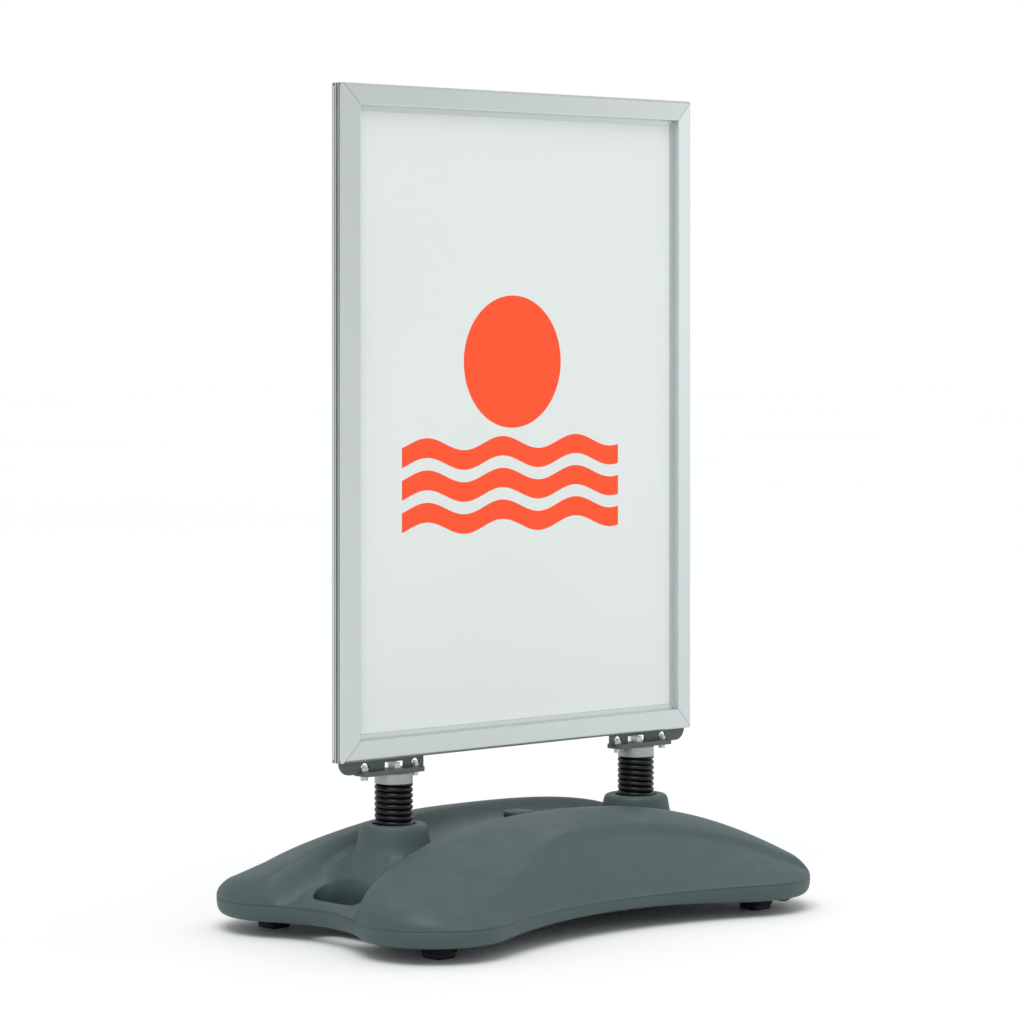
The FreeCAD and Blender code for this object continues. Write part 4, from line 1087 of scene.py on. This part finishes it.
def paper_sheet(name):
    """Thin paper with a barely wavy face, clear of the cover sheet in front of it."""
    low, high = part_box(f"{name}_poster")
    clearance, thickness, wave = 0.07 * MM, 0.15 * MM, 0.025 * MM
    outward = -1 if name == "front" else 1
    face = (low.y if name == "front" else high.y) - outward * clearance
    columns, rows = 40, 56
    vertices, faces = [], []
    for layer in (0, 1):
        for i in range(columns + 1):
            for j in range(rows + 1):
                x = low.x + (high.x - low.x) * i / columns
                z = low.z + (high.z - low.z) * j / rows
                ripple = wave * math.sin(9 * x + 2.3 * z) * math.sin(7 * z + 1.1)
                vertices.append((x, face - outward * (thickness * layer) + ripple, z))

    def at(layer, i, j):
        return layer * (columns + 1) * (rows + 1) + i * (rows + 1) + j

    for layer in (0, 1):
        faces += [(at(layer, i, j), at(layer, i + 1, j), at(layer, i + 1, j + 1), at(layer, i, j + 1))
                  for i in range(columns) for j in range(rows)]
    rims = [((i, j), (i + 1, j)) for i in range(columns) for j in (0, rows)]
    rims += [((i, j), (i, j + 1)) for i in (0, columns) for j in range(rows)]
    faces += [(at(0, *a), at(0, *b), at(1, *b), at(1, *a)) for a, b in rims]
    piece = new_object(f"poster_sheet_{name}", vertices, faces)
    sharpen(piece, 40)
    return piece


class SIGN_OT_sheets(bpy.types.Operator):
    """Finishes the back panels, posters and cover sheets"""
    bl_idname = "sign.sheets"
    bl_label = "Sheets"

    def execute(self, context):
        settings = context.scene.sign_finish
        back = grained("back_sheet", (0.62, 0.64, 0.63), 0.4, 0.55, 500.0, 0.00002, spread=0.03)
        cover = anti_glare_sheet()
        for name in FRAMES:
            paint_nodes([f"{name}_back_panel"], back)
            printed = poster_print(settings.print_ink, tuple(settings.paper), name == "front")
            paper = finish(paper_sheet(name), printed)
            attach(paper, "sign")
            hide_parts(f"{name}_poster")
            paint_nodes([f"{name}_cover_sheet"], cover)
        return {"FINISHED"}


def soft_light(name, place, target, size, power):
    light = bpy.data.lights.new(name, "AREA")
    light.shape = "RECTANGLE"
    light.size, light.size_y = size
    light.energy = power
    lamp = link(bpy.data.objects.new(name, light))
    lamp.location = place
    lamp.rotation_euler = (Vector(target) - Vector(place)).to_track_quat("-Z", "Y").to_euler()


def soft_sun(name, toward, strength, spread):
    """Even light from one direction, so the floor stays the same tone out to the horizon."""
    light = bpy.data.lights.new(name, "SUN")
    light.energy = strength
    light.angle = math.radians(spread)
    lamp = link(bpy.data.objects.new(name, light))
    lamp.rotation_euler = Vector(toward).to_track_quat("Z", "Y").to_euler()


class SIGN_OT_stage(bpy.types.Operator):
    """Lays the floor, hangs the lights and places the camera"""
    bl_idname = "sign.stage"
    bl_label = "Stage"

    def execute(self, context):
        scene, settings = context.scene, context.scene.sign_stage
        reach = 30.0
        floor = new_object("studio_floor", [(-reach, -reach, 0), (reach, -reach, 0), (reach, reach, 0),
                                            (-reach, reach, 0)], [(0, 1, 2, 3)])
        pale = Finish("studio_floor", 0.6, specular=0.2)
        tone = noise(pale.tree, pale.coordinates, 0.4)
        pale.colour(pale.mix(tone, (0.90, 0.915, 0.915), (0.93, 0.94, 0.94)))
        finish(floor, pale.material)

        world = bpy.data.worlds.new("studio")
        world.use_nodes = True
        tree, sky_light = world.node_tree, 0.68
        background = tree.nodes["Background"].inputs
        background["Color"].default_value = (1, 1, 1, 1)
        seen = put(tree, "ShaderNodeLightPath").outputs["Is Camera Ray"]
        tree.links.new(remap(tree, seen, 0.0, 1.0, sky_light, 1.0), background["Strength"])
        scene.world = world
        scene.view_settings.view_transform = "Standard"

        soft_sun("key", toward=(-0.9, -0.7, 2.2), strength=1.6, spread=40)
        soft_light("side", place=(3.2, -1.6, 1.6), target=(0, 0, 0.55), size=(1.6, 2.4), power=10)

        sine, cosine = math.sin(settings.bearing), math.cos(settings.bearing)
        camera = bpy.data.cameras.new("camera")
        camera.sensor_width = 36.0
        camera.lens = settings.lens
        camera.shift_y = settings.shift
        holder = link(bpy.data.objects.new("camera", camera))
        away, across = settings.distance, settings.sideways
        holder.location = (-away * sine + across * cosine, -away * cosine - across * sine, settings.height)
        holder.rotation_euler = (math.pi / 2, 0, -settings.bearing)
        scene.camera = holder
        return {"FINISHED"}


class SIGN_PT_workshop(bpy.types.Panel):
    """Steps of the build, in order"""
    bl_label = "Pavement Sign"
    bl_idname = "SIGN_PT_workshop"
    bl_space_type = "VIEW_3D"
    bl_region_type = "UI"
    bl_category = "Pavement Sign"

    def draw(self, context):
        for step in STEPS:
            self.layout.operator(step.bl_idname)
        for holder, group in GROUPS.items():
            for name in group.__annotations__:
                self.layout.prop(getattr(context.scene, holder), name)


GROUPS = {"sign_base": BaseSettings, "sign_springs": SpringSettings, "sign_finish": FinishSettings,
          "sign_stage": StageSettings}
STEPS = (SIGN_OT_stage, SIGN_OT_base, SIGN_OT_cap, SIGN_OT_feet, SIGN_OT_springs, SIGN_OT_fittings,
         SIGN_OT_frames, SIGN_OT_sheets)


def register():
    for item in (*GROUPS.values(), *STEPS, SIGN_PT_workshop):
        bpy.utils.register_class(item)
    for holder, group in GROUPS.items():
        setattr(bpy.types.Scene, holder, PointerProperty(type=group))


def unregister():
    for holder in GROUPS:
        delattr(bpy.types.Scene, holder)
    for item in reversed((*GROUPS.values(), *STEPS, SIGN_PT_workshop)):
        bpy.utils.unregister_class(item)


def main():
    register()
    for step in STEPS:
        group, name = step.bl_idname.split(".")
        getattr(getattr(bpy.ops, group), name)()


if __name__ == "__main__":
    main()
